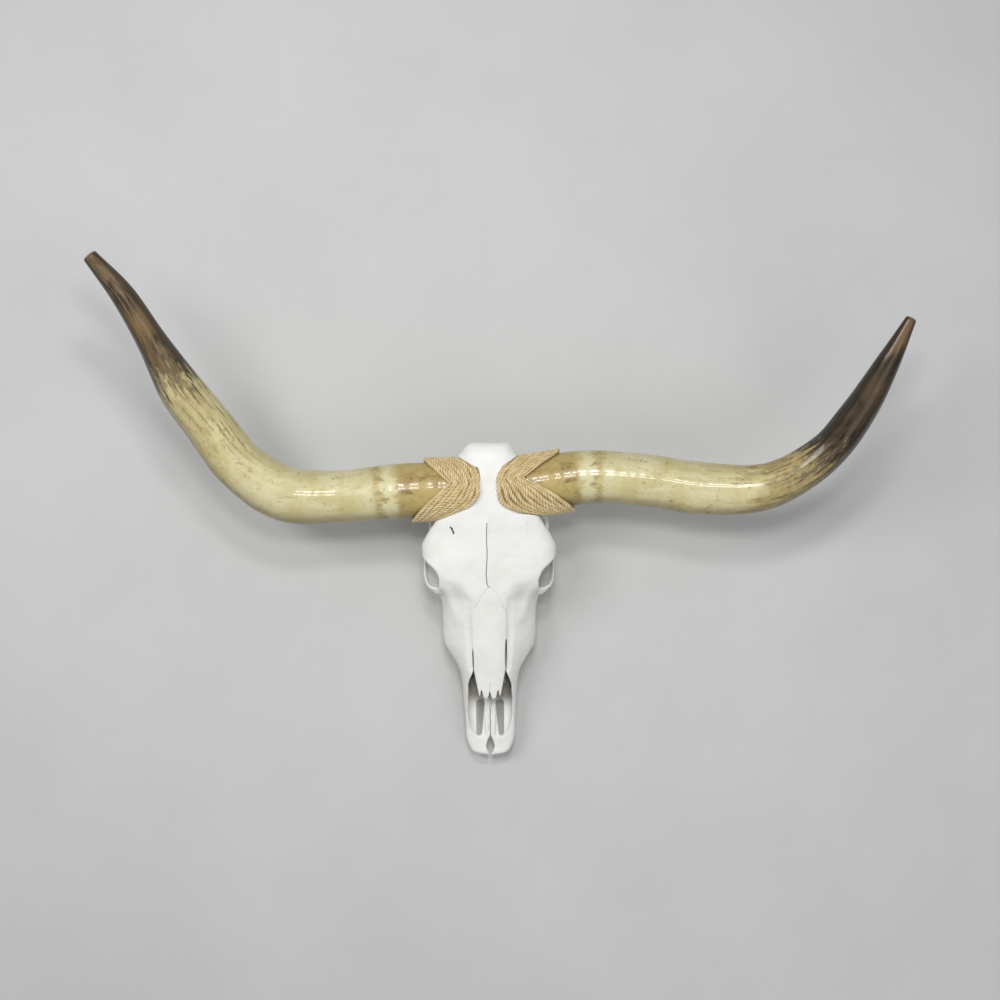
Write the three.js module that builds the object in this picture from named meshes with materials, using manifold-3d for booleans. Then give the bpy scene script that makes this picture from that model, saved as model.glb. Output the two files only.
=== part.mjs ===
// A longhorn steer skull without its lower jaw, lying on its cheek teeth and the two bony
// processes behind them, forehead up. The horn bases are bound with cord.
// Millimetres. +X is the animal's left, -Y is towards the nose, +Z is up, away from the floor.
import * as THREE from "three";
import { mergeVertices } from "three/addons/utils/BufferGeometryUtils.js";
import Module from "manifold-3d";

const wasm = await Module();
wasm.setup();

// ---------------------------------------------------------------- driving dimensions
const GAP = 0.3; // clearance at every suture
const CORD_GAP = 1; // clearance between a horn and the cord round it
const CORD_ROOM = 2.2; // and between the cord and the bone
const SUTURE_Y_TOP = -160; // where the suture between cranium and upper jaw meets the forehead
const SUTURE_Y_FLOOR = -138; // and where it meets the floor plane
const FACE_HEIGHT = 140; // height between those two places
const NASAL_TOP = -138; // where the two nasal bones begin, between the frontal bones
const NASAL_THICK = 5;
const SPLIT_WIDTH = 1.2; // the open joint between the two incisive bones
const PALATE_CUT = [0, 60]; // heights between which holes are cut through the front of the palate
const INCISIVE_JOINT = [-334, 20]; // a place, y and z, on the slanting joint of jaw and incisive bones
const INCISIVE_SLANT = Math.PI / 5.2;

const SECTION_POINTS = 24;
const LONGEST_BAY = 28; // a longer stretch between two sections gets one more between them

// Half sections of the skull, nose to poll: the height of its top in the middle, five places
// round one side as [half width, height], and the height of its underside in the middle.
const STATIONS = [
  // y, crown, ridge, flank, side, lower, edge, base
  [-426, 35, [5, 35], [8, 33.5], [9.5, 31], [8, 28.5], [5, 27], 27],
  [-420, 37.5, [14, 37.5], [24, 35], [27, 31], [24, 27], [14, 25.5], 25.5],
  [-408, 39, [18, 39], [32, 37], [35.5, 31.5], [32, 26.5], [20, 25], 25],
  [-392, 42, [22, 43], [36.5, 41], [40.3, 33], [37, 26.5], [26, 25], 25.5],
  [-369, 54, [26, 54], [38, 49], [41.7, 38], [39.5, 28], [30, 26], 26.5],
  [-330, 88, [20, 84], [37, 64], [43, 48], [42.5, 32], [36, 27.5], 28],
  [-300, 98, [21, 93], [38, 76], [45, 54], [45, 36], [40, 29], 31],
  [-278, 105, [24, 99], [42, 82], [50, 56], [49, 40], [43, 22], 31],
  [-258, 111, [26, 105], [47, 86], [61, 58], [58, 40], [48, 18], 31],
  [-238, 117, [27.5, 110], [52, 92], [74.5, 62], [66, 40], [52, 17], 31],
  [-200, 128, [29, 121], [54, 104], [76, 72], [70, 44], [57, 17], 31],
  [-165, 138, [38, 132], [62, 118], [79, 82], [73, 50], [61, 18], 32],
  [-145, 144, [56, 139], [76, 126], [88, 92], [76, 60], [59, 26], 35],
  [-122, 150, [74, 145], [88, 132], [98, 100], [72, 74], [44, 52], 50],
  [-98, 157, [88, 148], [101, 134], [92, 104], [60, 78], [34, 60], 58],
  [-76, 162, [97, 146], [108, 128], [84, 106], [54, 78], [30, 60], 59],
  [-56, 167, [91, 150], [100, 137], [70, 108], [54, 78], [30, 58], 57],
  [-38, 171, [81, 159], [88, 147], [63, 112], [57, 80], [32, 56], 54],
  [0, 178, [66, 168], [70, 142], [66, 108], [64, 80], [38, 52], 48],
  [30, 182, [46, 176], [66, 144], [70, 108], [64, 80], [36, 58], 54],
  [55, 182, [29, 178], [59, 147], [56, 114], [44, 90], [24, 76], 74],
  [75, 179, [29, 174], [48, 152], [38, 128], [26, 112], [12, 106], 104],
  [92, 166, [22, 164], [30, 156], [26, 146], [16, 138], [8, 135], 134],
].map(([y, crown, ridge, flank, side, lower, edge, base]) => (
  { y, crown, ridge, flank, side, lower, edge, base }));

// Horn centrelines from the poll to the tip as [x, y, z, radius]. The two are a natural odd pair.
const HORNS = {
  right: [
    [-8, 19, 141, 43], [-60, 18, 141, 44], [-132, 15, 142, 45], [-249, 5, 146, 43],
    [-327, 10.5, 155, 45], [-396, 56.5, 172, 41.5], [-440, 116, 192, 39], [-482, 175, 218, 35.5],
    [-519, 244, 249, 25], [-559, 314, 278, 17], [-602, 368.5, 306, 7.5],
  ],
  left: [
    [8, 20, 141, 43], [60, 24, 141, 43], [163, 37, 143, 43.5], [259, 30, 148, 42.3],
    [354, 17, 158, 42], [447, 23, 176, 37], [529, 74, 206, 31], [577, 141, 240, 27],
    [613, 212, 274, 18.5], [641, 273, 299, 9],
  ],
};
const HORN_START = 60; // half distance between the inner ends of the two sheaths, hidden by the cord
const HORN_SIDES = 18;
const HORN_STEPS = 17;
const TIP_ROUND = 4; // how far the rounded tip stands beyond the last point

// Cord bindings: distance of both edges from the middle on four sides of the horn, how blunt the inner
// edge is towards the poll and the nose, and the turn at which the outer edge comes to a point.
const WRAPS = {
  right: {
    inner: { front: 14, top: 48, back: 70, bottom: 91 }, bluntTop: 5, bluntBottom: 3,
    outer: { front: 62.5, top: 103, back: 96, bottom: 130 }, apex: 0.16,
  },
  left: {
    inner: { front: 12.5, top: 52, back: 70, bottom: 86 }, bluntTop: 3, bluntBottom: 4.5,
    outer: { front: 56.5, top: 105, back: 98, bottom: 134 }, apex: 0.27,
  },
};
const WRAP_DEPTH = { front: 5.5, top: 7, back: 7, bottom: 10.5 };
const STRANDS = 7; // ridges that stand for the turns of cord
const STRAND_GROOVE = 1.6;

// Cheek teeth from front to back as [length, width]: three premolars, then three molars.
const TEETH = [[15, 15], [16, 17], [17, 19], [25, 21], [28, 22], [29, 20]];
const ROW_START = -279;
const TOOTH_TOP = 40; // height at which the crowns are inside the jaw
const TOOTH_FULLNESS = 1.1; // crowns are this much wider than their pitch, so that they touch
const TOOTH_TAPER = 0.9;
const ROW_X = [41, 57]; // distance of the row from the middle at its first and last tooth

// ---------------------------------------------------------------- small helpers
const lerp = THREE.MathUtils.lerp;
const clamp01 = (t) => THREE.MathUtils.clamp(t, 0, 1);

// Smooth curve through the stations' values, as a function of y.
function along(read, y) {
  let i = STATIONS.findIndex((s) => s.y > y) - 1;
  if (i < 0) i = y < 0 ? 0 : STATIONS.length - 2;
  const [a, b] = [STATIONS[i], STATIONS[i + 1]];
  const [before, after] = [STATIONS[Math.max(i - 1, 0)], STATIONS[Math.min(i + 2, STATIONS.length - 1)]];
  const span = b.y - a.y;
  const slopeA = ((read(b) - read(before)) / (b.y - before.y)) * span;
  const slopeB = ((read(after) - read(a)) / (after.y - a.y)) * span;
  const t = clamp01((y - a.y) / span);
  const [t2, t3] = [t * t, t * t * t];
  return (2 * t3 - 3 * t2 + 1) * read(a) + (t3 - 2 * t2 + t) * slopeA +
    (3 * t2 - 2 * t3) * read(b) + (t3 - t2) * slopeB;
}

// A solid for cutting and joining from any closed geometry.
function solid(geometry) {
  const bare = geometry.index ? geometry.toNonIndexed() : geometry.clone();
  bare.deleteAttribute("normal");
  bare.deleteAttribute("uv");
  const merged = mergeVertices(bare, 1e-3);
  return new wasm.Manifold(new wasm.Mesh({
    numProp: 3,
    vertProperties: merged.attributes.position.array,
    triVerts: new Uint32Array(merged.index.array),
  }));
}

// A named mesh from a solid.
function mesh(name, shape, material) {
  const data = shape.getMesh();
  const places = new Float32Array(data.numVert * 3);
  for (let i = 0; i < data.numVert; i++) {
    places.set(data.vertProperties.subarray(i * data.numProp, i * data.numProp + 3), i * 3);
  }
  const geometry = new THREE.BufferGeometry();
  geometry.setAttribute("position", new THREE.BufferAttribute(places, 3));
  geometry.setIndex(new THREE.BufferAttribute(data.triVerts, 1));
  geometry.computeVertexNormals();
  const made = new THREE.Mesh(geometry, material);
  made.name = name;
  return made;
}

const join = (...shapes) => shapes.reduce((all, s) => all.add(s));
const cut = (shape, ...tools) => tools.reduce((left, tool) => left.subtract(tool), shape);

// Closed surface through rings of points. Open ends get a flat cap.
function loft(rings, closed = false) {
  const n = rings[0].length;
  const points = rings.flat();
  const faces = [];
  const bands = closed ? rings.length : rings.length - 1;
  for (let i = 0; i < bands; i++) {
    const next = (i + 1) % rings.length;
    for (let j = 0; j < n; j++) {
      const k = (j + 1) % n;
      faces.push([i * n + j, i * n + k, next * n + k], [i * n + j, next * n + k, next * n + j]);
    }
  }
  if (!closed) {
    for (const [ring, flip] of [[0, true], [rings.length - 1, false]]) {
      const middle = rings[ring].reduce((sum, p) => sum.add(p), new THREE.Vector3()).divideScalar(n);
      points.push(middle);
      for (let j = 0; j < n; j++) {
        const [a, b] = [ring * n + j, ring * n + ((j + 1) % n)];
        faces.push(flip ? [points.length - 1, b, a] : [points.length - 1, a, b]);
      }
    }
  }
  const volume = faces.reduce((sum, [a, b, c]) =>
    sum + points[a].dot(new THREE.Vector3().crossVectors(points[b], points[c])), 0);
  const facing = volume < 0 ? faces.map(([a, b, c]) => [a, c, b]) : faces;
  const geometry = new THREE.BufferGeometry().setFromPoints(points);
  geometry.setIndex(facing.flat());
  return solid(geometry);
}

// A bar along a smooth curve through [x, y, z, half width across, half height] points.
function bar(path, steps, sides = 8) {
  const line = new THREE.CatmullRomCurve3(path.map(([x, y, z]) => new THREE.Vector3(x, y, z)));
  const sizes = new THREE.CatmullRomCurve3(path.map(([, , , a, b]) => new THREE.Vector3(a, b ?? a, 0)));
  const up = new THREE.Vector3(0, 0, 1);
  const rings = [];
  for (let i = 0; i <= steps; i++) {
    const middle = line.getPoint(i / steps);
    const size = sizes.getPoint(i / steps);
    const ahead = line.getTangent(i / steps);
    const across = new THREE.Vector3().crossVectors(ahead, up);
    if (across.length() < 0.2) across.set(1, 0, 0);
    across.normalize();
    const over = new THREE.Vector3().crossVectors(across, ahead).normalize();
    rings.push(Array.from({ length: sides }, (_, j) => {
      const turn = (j / sides) * 2 * Math.PI;
      return middle.clone()
        .addScaledVector(across, size.x * Math.cos(turn))
        .addScaledVector(over, size.y * Math.sin(turn));
    }));
  }
  return loft(rings);
}

// An ellipsoid with its third radius along a given direction.
function egg([x, y, z], [a, b, c], direction = [0, 0, 1], detail = 8) {
  const shape = new THREE.SphereGeometry(1, detail, Math.ceil(detail / 2));
  shape.rotateX(Math.PI / 2).scale(a, b, c);
  const turn = new THREE.Quaternion().setFromUnitVectors(
    new THREE.Vector3(0, 0, 1), new THREE.Vector3(...direction).normalize());
  shape.applyQuaternion(turn).translate(x, y, z);
  return solid(shape);
}

// A plan outline of [x, y] points made into an upright prism.
function prism(outline, low, high) {
  const shape = new THREE.Shape(outline.map(([x, y]) => new THREE.Vector2(x, y)));
  const block = new THREE.ExtrudeGeometry(shape, { depth: high - low, bevelEnabled: false });
  return solid(block.translate(0, 0, low));
}

const box = (x, y, z, cx, cy, cz) => solid(new THREE.BoxGeometry(x, y, z).translate(cx, cy, cz));
const bothSides = (make) => join(make(1), make(-1));

// ---------------------------------------------------------------- the skull's main body
function sectionAt(y, grow = 0) {
  const at = (name) => [0, 1].map((i) => along((s) => s[name][i], y));
  const half = ["ridge", "flank", "side", "lower", "edge"].map(at);
  const crown = along((s) => s.crown, y);
  const base = along((s) => s.base, y);
  const loop = [[0, crown], ...half, [0, base], ...half.slice().reverse().map(([x, z]) => [-x, z])];
  const line = new THREE.CatmullRomCurve3(loop.map(([x, z]) => new THREE.Vector3(x, y, z + grow)), true);
  return line.getPoints(SECTION_POINTS).slice(0, -1);
}

function skullBody(drop = 0) {
  const rings = [];
  STATIONS.forEach((station, i) => {
    rings.push(sectionAt(station.y, -drop));
    const next = STATIONS[i + 1];
    if (next && next.y - station.y > LONGEST_BAY) rings.push(sectionAt((station.y + next.y) / 2, -drop));
  });
  return loft(rings);
}

// ---------------------------------------------------------------- things that are cut away
function orbit(side) {
  const outward = [0.878 * side, -0.396, 0.268];
  const rim = new THREE.Vector3(98 * side, -109, 116);
  const middle = rim.addScaledVector(new THREE.Vector3(...outward), -16);
  return egg(middle.toArray(), [31, 31, 46], outward, 14);
}

function nasalCavity() {
  const places = [
    // y, half width, floor height, roof height
    [-402, 23, 36, 160], [-392, 29, 35, 160], [-369, 34, 34, 160], [-330, 36, 34, 160],
    [-300, 36.5, 36, 150], [-281, 31, 38, 120], [-279.5, 30, 38, 96], [-250, 27, 40, 98],
    [-215, 18, 48, 96],
  ];
  return loft(places.map(([y, half, floor, roof]) => [
    [-half, floor + 8], [-half + 8, floor], [half - 8, floor], [half, floor + 8],
    [half - 1, roof - 10], [half * 0.6, roof], [-half * 0.6, roof], [-half + 1, roof - 10],
  ].map(([x, z]) => new THREE.Vector3(x, y, z))));
}

function palatineFissure(side) {
  const outline = [];
  for (let i = 0; i < 12; i++) {
    const turn = (i / 12) * 2 * Math.PI;
    const end = Math.sin(turn) > 0 ? -336 : -386;
    outline.push([side * (15.7 + 6.2 * Math.cos(turn)), end + 7 * Math.sin(turn)]);
  }
  return prism(outline, ...PALATE_CUT);
}

// The open joint of the incisive bones, with the wider gap near their ends.
const incisiveGap = () => {
  const edge = [[0.4, -390], [5, -399], [6.5, -408], [4.5, -417], [1, -430]];
  const mirrored = edge.map(([x, y]) => [-x, y]).reverse();
  return join(box(SPLIT_WIDTH, 110, 60, 0, -374, 40), prism([...edge, ...mirrored], ...PALATE_CUT));
};

// The choanae, where the nasal passage opens behind the palate, as [y, half width, low, high].
function throat() {
  return loft([[-142, 18, 38, 70], [-120, 20, 30, 74], [-95, 19, 20, 68], [-70, 15, 20, 58]].map(
    ([y, half, low, high]) => [[-half, low], [half, low], [half * 0.9, high], [-half * 0.9, high]].map(
      ([x, z]) => new THREE.Vector3(x, y, z))));
}

const foramenMagnum = () => egg([0, 62, 82], [17, 15, 34], [0, 1, 0]);

// ---------------------------------------------------------------- things that are added
const cheekArch = (side) => bar([
  [80, -150, 88, 9, 12], [94, -134, 87, 7, 12], [102, -110, 82, 5.5, 11], [103, -80, 80, 5, 11],
  [94.5, -54, 83, 4, 10], [92, -30, 84, 5, 8], [68, -4, 82, 11, 8],
].map(([x, ...rest]) => [side * x, ...rest]), 10);

const orbitPost = (side) => bar([
  [side * 100, -72, 128, 7, 9], [side * 104.5, -78, 106, 4, 8], [side * 103, -86, 84, 5, 10],
], 3);

const orbitFloor = (side) => egg([side * 82, -120, 76], [21, 34, 14], [-0.25 * side, 0, 1], 10);

const hornNeck = (name) => {
  const curve = hornCurve(name);
  return loft([0, 0.5, 1].map((share) => curve.ring(share * curve.at(HORN_START), -1)));
};

function skullBase(side) {
  const condyle = egg([side * 23, 47, 64], [17, 20, 21], [0.2 * side, 0.3, 1]);
  const paracondyle = bar([
    [side * 52, 28, 92, 17, 13], [side * 51, 28, 58, 13, 11],
    [side * 48, 26, 28, 9, 8.5], [side * 45, 24, -6, 6.5, 6.5],
  ], 4);
  const fossaRidge = egg([side * 60, -12, 76], [24, 10, 10], [1, 0, 0]);
  const bulla = egg([side * 37, -6, 46], [10, 17, 16]);
  const pterygoid = bar([
    [side * 22, -140, 44, 5, 15], [side * 23, -112, 44, 4, 16],
    [side * 21, -84, 50, 4, 14], [side * 18, -62, 56, 5, 9],
  ], 4, 6);
  return join(condyle, paracondyle, fossaRidge, bulla, pterygoid);
}

const basilarBar = () => bar([
  [0, -90, 62, 16, 9], [0, -40, 54, 14, 10], [0, 0, 50, 17, 10], [0, 36, 58, 20, 12],
], 4, 10);

function toothRow(side) {
  let y = ROW_START;
  const teeth = TEETH.map(([length, width], i) => {
    const x = lerp(ROW_X[0], ROW_X[1], i / (TEETH.length - 1));
    const crown = new THREE.CylinderGeometry(TOOTH_FULLNESS, TOOTH_FULLNESS * TOOTH_TAPER, TOOTH_TOP, 6);
    crown.rotateX(Math.PI / 2).rotateZ(Math.PI / 6);
    crown.scale(width / 2, length / 2, 1).translate(side * x, y + length / 2, TOOTH_TOP / 2 - 0.01 * i);
    y += length;
    return solid(crown);
  });
  return join(...teeth);
}

// ---------------------------------------------------------------- horns and their bindings
// A horn's curve: places on its surface at a share t of its length and a turn round it, where
// turn 0 is the front and a quarter turn is the side towards the poll.
function hornCurve(name) {
  const points = HORNS[name];
  const side = Math.sign(points.at(-1)[0]);
  const line = new THREE.CatmullRomCurve3(points.map(([x, y, z]) => new THREE.Vector3(x, y, z)));
  const sizes = points.map(([, , , r]) => new THREE.Vector3(r, 0, 0));
  const radii = new THREE.CatmullRomCurve3(sizes, false, "catmullrom", 0.5);
  const up = new THREE.Vector3(0, 0, 1);
  const place = (t, turn, extra = 0) => {
    const ahead = line.getTangent(t);
    const across = new THREE.Vector3().crossVectors(up, ahead).normalize();
    const over = new THREE.Vector3().crossVectors(ahead, across);
    const reach = radii.getPoint(t).x + extra;
    return line.getPoint(t)
      .addScaledVector(over, reach * Math.cos(turn))
      .addScaledVector(across, side * reach * Math.sin(turn));
  };
  const ring = (t, extra = 0) => Array.from({ length: HORN_SIDES },
    (_, j) => place(t, (j / HORN_SIDES) * 2 * Math.PI, extra));
  const at = (x) => { // the share of the length at a distance x from the middle
    let [low, high] = [0, 0.5];
    for (let i = 0; i < 30; i++) {
      const middle = (low + high) / 2;
      if (Math.abs(line.getPoint(middle).x) < x) low = middle;
      else high = middle;
    }
    return low;
  };
  return { line, radii, place, ring, at };
}

function horn(name, grow = 0) {
  const curve = hornCurve(name);
  const start = curve.at(HORN_START - grow);
  const rings = [];
  for (let i = 0; i <= HORN_STEPS; i++) {
    const share = (i / HORN_STEPS) ** 1.15; // the rings stand closer together near the skull
    rings.push(curve.ring(lerp(start, 1, share), grow));
  }
  const tip = curve.ring(1, -0.4 * curve.radii.getPoint(1).x);
  rings.push(tip.map((p) => p.addScaledVector(curve.line.getTangent(1), TIP_ROUND)));
  return loft(rings);
}

// Value at an angle round the horn, from its values on the four sides.
function aroundHorn(values, turn, blunt = 1) {
  const weight = Math.abs(Math.sin(turn)) ** blunt;
  const nearSide = Math.sin(turn) > 0 ? values.top : values.bottom;
  const face = Math.cos(turn) > 0 ? values.front : values.back;
  return lerp(face, nearSide, weight);
}

// A ring of cord with a ridge for each strand, or the plain room it needs in the bone.
function wrap(name, grow = 0) {
  const curve = hornCurve(name);
  const { inner, outer, bluntTop, bluntBottom, apex } = WRAPS[name];
  const rows = grow ? 4 : STRANDS * 2;
  const rings = [];
  for (let i = 0; i < HORN_SIDES; i++) {
    const turn = (i / HORN_SIDES) * 2 * Math.PI;
    const from = aroundHorn(inner, turn, Math.sin(turn) > 0 ? bluntTop : bluntBottom) - grow;
    const to = aroundHorn(outer, turn - apex * Math.max(Math.cos(turn), 0) ** 2) + grow;
    const depth = aroundHorn(WRAP_DEPTH, turn);
    const place = (x, rise) => curve.place(curve.at(x), turn, rise);
    const ring = [place(to, CORD_GAP - grow), place(from, CORD_GAP - grow)];
    for (let k = 0; k <= rows; k++) {
      const groove = grow || k % 2 ? 0 : STRAND_GROOVE;
      const edge = grow || (k > 0 && k < rows) ? 0 : depth * 0.35;
      ring.push(place(lerp(from, to, k / rows), CORD_GAP + depth + grow - groove - edge));
    }
    rings.push(ring);
  }
  return loft(rings, true);
}

// ---------------------------------------------------------------- parting the skull at its sutures
// One nasal bone's outline, or the larger one of the room it lies in. Its free end has two points.
const nasalOutline = (side, grow) => [
  [GAP / 2 - grow, NASAL_TOP + 3 * grow], [14, -154 + grow], [27.5 + grow, -174], [28 + grow, -200],
  [27.5 + grow, -262], [25 + grow, -282], [20.5 + grow, -306], [17 + grow, -321 - grow],
  [14, -309 - grow], [10.5, -322 - grow], [5, -326 - grow], [GAP / 2 - grow, -315 - grow],
].map(([x, y]) => [side * x, y]);

const nasalPrism = (side, grow = 0) => prism(nasalOutline(side, grow), 40, 200);

// The half space behind (or in front of) the suture between cranium and jaw.
function suture(behind) {
  const slope = (SUTURE_Y_TOP - SUTURE_Y_FLOOR) / FACE_HEIGHT;
  const block = new THREE.BoxGeometry(400, 700, 500);
  block.translate(0, (behind ? 1 : -1) * (350 + GAP / 2), 0);
  block.rotateX(-Math.atan(slope)).translate(0, SUTURE_Y_FLOOR, 0);
  return solid(block);
}

// The half space in front of the slanting joint between jaw and incisive bones.
function incisiveSide(front) {
  const block = new THREE.BoxGeometry(300, 500, 500);
  block.translate(0, (front ? -1 : 1) * (250 + GAP / 2), 0);
  return solid(block.rotateX(-INCISIVE_SLANT).translate(0, ...INCISIVE_JOINT));
}

// ---------------------------------------------------------------- assembly
const bone = new THREE.MeshStandardMaterial({ color: 0xe8e7e1, roughness: 0.6, metalness: 0 });
const sheath = new THREE.MeshStandardMaterial({ color: 0xcbb984, roughness: 0.25, metalness: 0 });
const cord = new THREE.MeshStandardMaterial({ color: 0xc8a56c, roughness: 0.9, metalness: 0 });

const body = skullBody();
const roofLayer = (side) => cut(nasalPrism(side, GAP), skullBody(NASAL_THICK + GAP));
const hornRoom = join(...["left", "right"].flatMap((name) => [wrap(name, CORD_ROOM), horn(name, GAP)]));
const belowFloor = box(800, 1200, 100, 0, 0, -50);

const whole = cut(
  join(body, bothSides(cheekArch), bothSides(orbitPost), bothSides(orbitFloor), bothSides(skullBase),
    basilarBar(), bothSides(toothRow), hornNeck("left"), hornNeck("right")),
  bothSides(orbit), nasalCavity(), throat(), foramenMagnum(), bothSides(palatineFissure),
  roofLayer(1), roofLayer(-1), incisiveGap(), hornRoom, belowFloor);

const largest = (shape) => shape.decompose().sort((a, b) => b.volume() - a.volume())[0];
const cranium = largest(whole.intersect(suture(true)));
const face = whole.intersect(suture(false));
const upperJaw = largest(face.intersect(incisiveSide(false)));
const incisives = face.intersect(incisiveSide(true));
const half = (side) => box(200, 1200, 600, side * (100 + SPLIT_WIDTH / 2), -300, 0);
const nasal = (side) => largest(cut(body.intersect(nasalPrism(side)), skullBody(NASAL_THICK)));

const skull = new THREE.Group();
skull.add(mesh("cranium", cranium, bone), mesh("upper_jaw", upperJaw, bone));
for (const [name, side] of [["left", 1], ["right", -1]]) {
  skull.add(
    mesh("nasal_" + name, nasal(side), bone),
    mesh("incisive_" + name, largest(incisives.intersect(half(side))), bone),
    mesh("horn_" + name, horn(name), sheath),
    mesh("wrap_" + name, wrap(name), cord),
  );
}

// The part's origin is under the middle of its outline, on the floor.
const outline = new THREE.Box3().setFromObject(skull);
const centre = outline.getCenter(new THREE.Vector3());
skull.position.set(-centre.x, -centre.y, -outline.min.z);
const part = new THREE.Group();
part.add(skull);

export default part;
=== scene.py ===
# %% [markdown]
# # The skull of a longhorn steer, its horns bound in cord
#
# The real object is three materials: bleached bone, polished horn and a binding of twisted
# cord round each horn base. It has no lower jaw, and it lies on its cheek teeth and on two
# bony processes behind them, with the forehead up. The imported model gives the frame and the
# size. Every piece here replaces one of its nodes in the same place, in metres, with +Z up,
# +X the animal's left and -Y towards the nose.

# %% The frame
import math

import bmesh
import bpy
import numpy as np
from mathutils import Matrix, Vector


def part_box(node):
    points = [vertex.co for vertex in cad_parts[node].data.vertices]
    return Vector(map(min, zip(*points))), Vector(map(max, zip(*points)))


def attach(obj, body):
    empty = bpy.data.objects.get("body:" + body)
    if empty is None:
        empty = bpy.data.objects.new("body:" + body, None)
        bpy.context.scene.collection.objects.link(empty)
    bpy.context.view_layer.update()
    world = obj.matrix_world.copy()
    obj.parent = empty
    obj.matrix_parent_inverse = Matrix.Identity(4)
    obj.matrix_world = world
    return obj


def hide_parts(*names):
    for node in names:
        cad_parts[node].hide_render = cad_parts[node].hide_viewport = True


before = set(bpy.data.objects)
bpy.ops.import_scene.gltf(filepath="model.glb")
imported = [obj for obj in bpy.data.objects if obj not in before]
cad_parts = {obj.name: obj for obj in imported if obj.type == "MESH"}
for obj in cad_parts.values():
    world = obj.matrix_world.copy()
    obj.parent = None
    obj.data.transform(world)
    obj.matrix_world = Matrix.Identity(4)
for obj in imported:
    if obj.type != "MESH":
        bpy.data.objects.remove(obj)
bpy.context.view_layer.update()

# %% [markdown]
# The shapes are worked out in the skull's own millimetres: x from the plane that halves the
# skull, y from a line across the forehead, z above the floor. That keeps both sides of the
# face alike and the numbers easy to read. One helper then moves places to the part's frame.

# %% The skull's own measures
MM = 0.001
POLL_END = 92.0
low, high = (np.array(corner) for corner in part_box("cranium"))
HOME = np.array([(low[0] + high[0]) / 2, high[1] - POLL_END * MM, 0.0])
UP = np.array([0.0, 0.0, 1.0])


def in_metres(places):
    return np.asarray(places, float) * MM + HOME


def in_millimetres(places):
    return (np.asarray(places) - HOME) / MM


def unit(rows):
    return rows / np.maximum(np.linalg.norm(rows, axis=-1, keepdims=True), 1e-9)


print("median plane at x", round(HOME[0], 5), "and line y 0 at", round(HOME[1], 5))

# %% [markdown]
# A piece is made from plain arrays of places and faces. Other numbers that a material wants,
# such as how deep in a hollow a place is, are stored on the mesh as attributes, and the
# material reads them by name. Such numbers move with the mesh, so a pattern never slides.


# %% Making a piece
def make_piece(name, places, faces, nodes=(), numbers=None):
    mesh = bpy.data.meshes.new(name)
    mesh.from_pydata(in_metres(places), [], faces)
    mesh.validate()
    mesh.shade_smooth()
    for key, values in (numbers or {}).items():
        values = np.asarray(values, np.float32)
        kind = "FLOAT" if values.ndim == 1 else "FLOAT_VECTOR"
        made = mesh.attributes.new(key, kind, "POINT")
        made.data.foreach_set("value" if values.ndim == 1 else "vector", values.ravel())
    piece = bpy.data.objects.new(name, mesh)
    bpy.context.scene.collection.objects.link(piece)
    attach(piece, "root")
    if nodes:
        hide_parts(*nodes)
    print(name, len(mesh.vertices), "places", len(mesh.polygons), "faces")
    return piece


# %% [markdown]
# Nearly everything on a skull follows a smooth curve: the sections of the face, the cheek
# arch, the horns. A Catmull-Rom curve goes through all its points, so each point can be
# chosen by eye. Its centripetal form, used here, makes no loops where points stand close.


# %% A smooth curve through points
def cubic(start, end, slope_start, slope_end, t):
    """The smooth step from start to end that has the given slopes there."""
    bend = -3 * start + 3 * end - 2 * slope_start - slope_end
    twist = 2 * start - 2 * end + slope_start + slope_end
    return start + slope_start * t + bend * t**2 + twist * t**3


def curve_through(points, shares, closed=False, even=False):
    """Places at shares (0 to 1) of the bays of a curve through the rows of points."""
    points = np.asarray(points, float)
    bays = len(points) if closed else len(points) - 1
    at = np.clip(np.atleast_1d(shares), 0, 1) * bays
    bay = np.minimum(np.floor(at).astype(int), bays - 1)
    t = (at - bay)[:, None]
    if closed:
        before, start, end, after = (points[(bay + step) % bays] for step in (-1, 0, 1, 2))
    else:
        ends = [2 * points[0] - points[1], 2 * points[-1] - points[-2]]
        padded = np.vstack([ends[0], points, ends[1]])
        before, start, end, after = (padded[bay + step] for step in range(4))
    if even:
        slope_start = (end - before) / 2
        slope_end = (after - start) / 2
    else:
        pairs = ((before, start), (start, end), (end, after))
        spans = [np.sqrt(np.linalg.norm(b - a, axis=1, keepdims=True)) for a, b in pairs]
        s0, s1, s2 = (np.maximum(span, 1e-6) for span in spans)
        slope_start = (start - before) / s0 - (end - before) / (s0 + s1) + (end - start) / s1
        slope_end = (end - start) / s1 - (after - start) / (s1 + s2) + (after - end) / s2
        slope_start = slope_start * s1
        slope_end = slope_end * s1
    return cubic(start, end, slope_start, slope_end, t)


# %% [markdown]
# ## Bone
#
# Bone has no flat faces and few edges: arches, rims and knobs grow out of each other. Polygon
# modelling would need a smooth joint at each of them. Here the skull is a field instead: a 3-D
# grid that holds, for each place, its distance from the surface, less than zero inside. Forms
# are joined and cut by taking the smaller or larger of two distances, and blended where they
# meet. The surface is then the skin where the field is zero.

# %% The grid
VOXEL = 1.25
GRID_LOW = np.array([VOXEL / 2, -434.0, -6.0])
GRID_HIGH = np.array([118.0, 100.0, 192.0])
AXES = [np.arange(a, b, VOXEL, dtype=np.float32) for a, b in zip(GRID_LOW, GRID_HIGH)]
print("half grid", [len(axis) for axis in AXES], "cells of", VOXEL, "mm")


def block(low, high):
    """The part of the grid between two corners, and its coordinates there."""
    parts = []
    for axis, a, b in zip(AXES, low, high):
        parts.append(slice(*np.searchsorted(axis, (a, b))))
    spots = np.meshgrid(*(axis[p] for axis, p in zip(AXES, parts)), indexing="ij", sparse=True)
    return tuple(parts), spots


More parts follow.
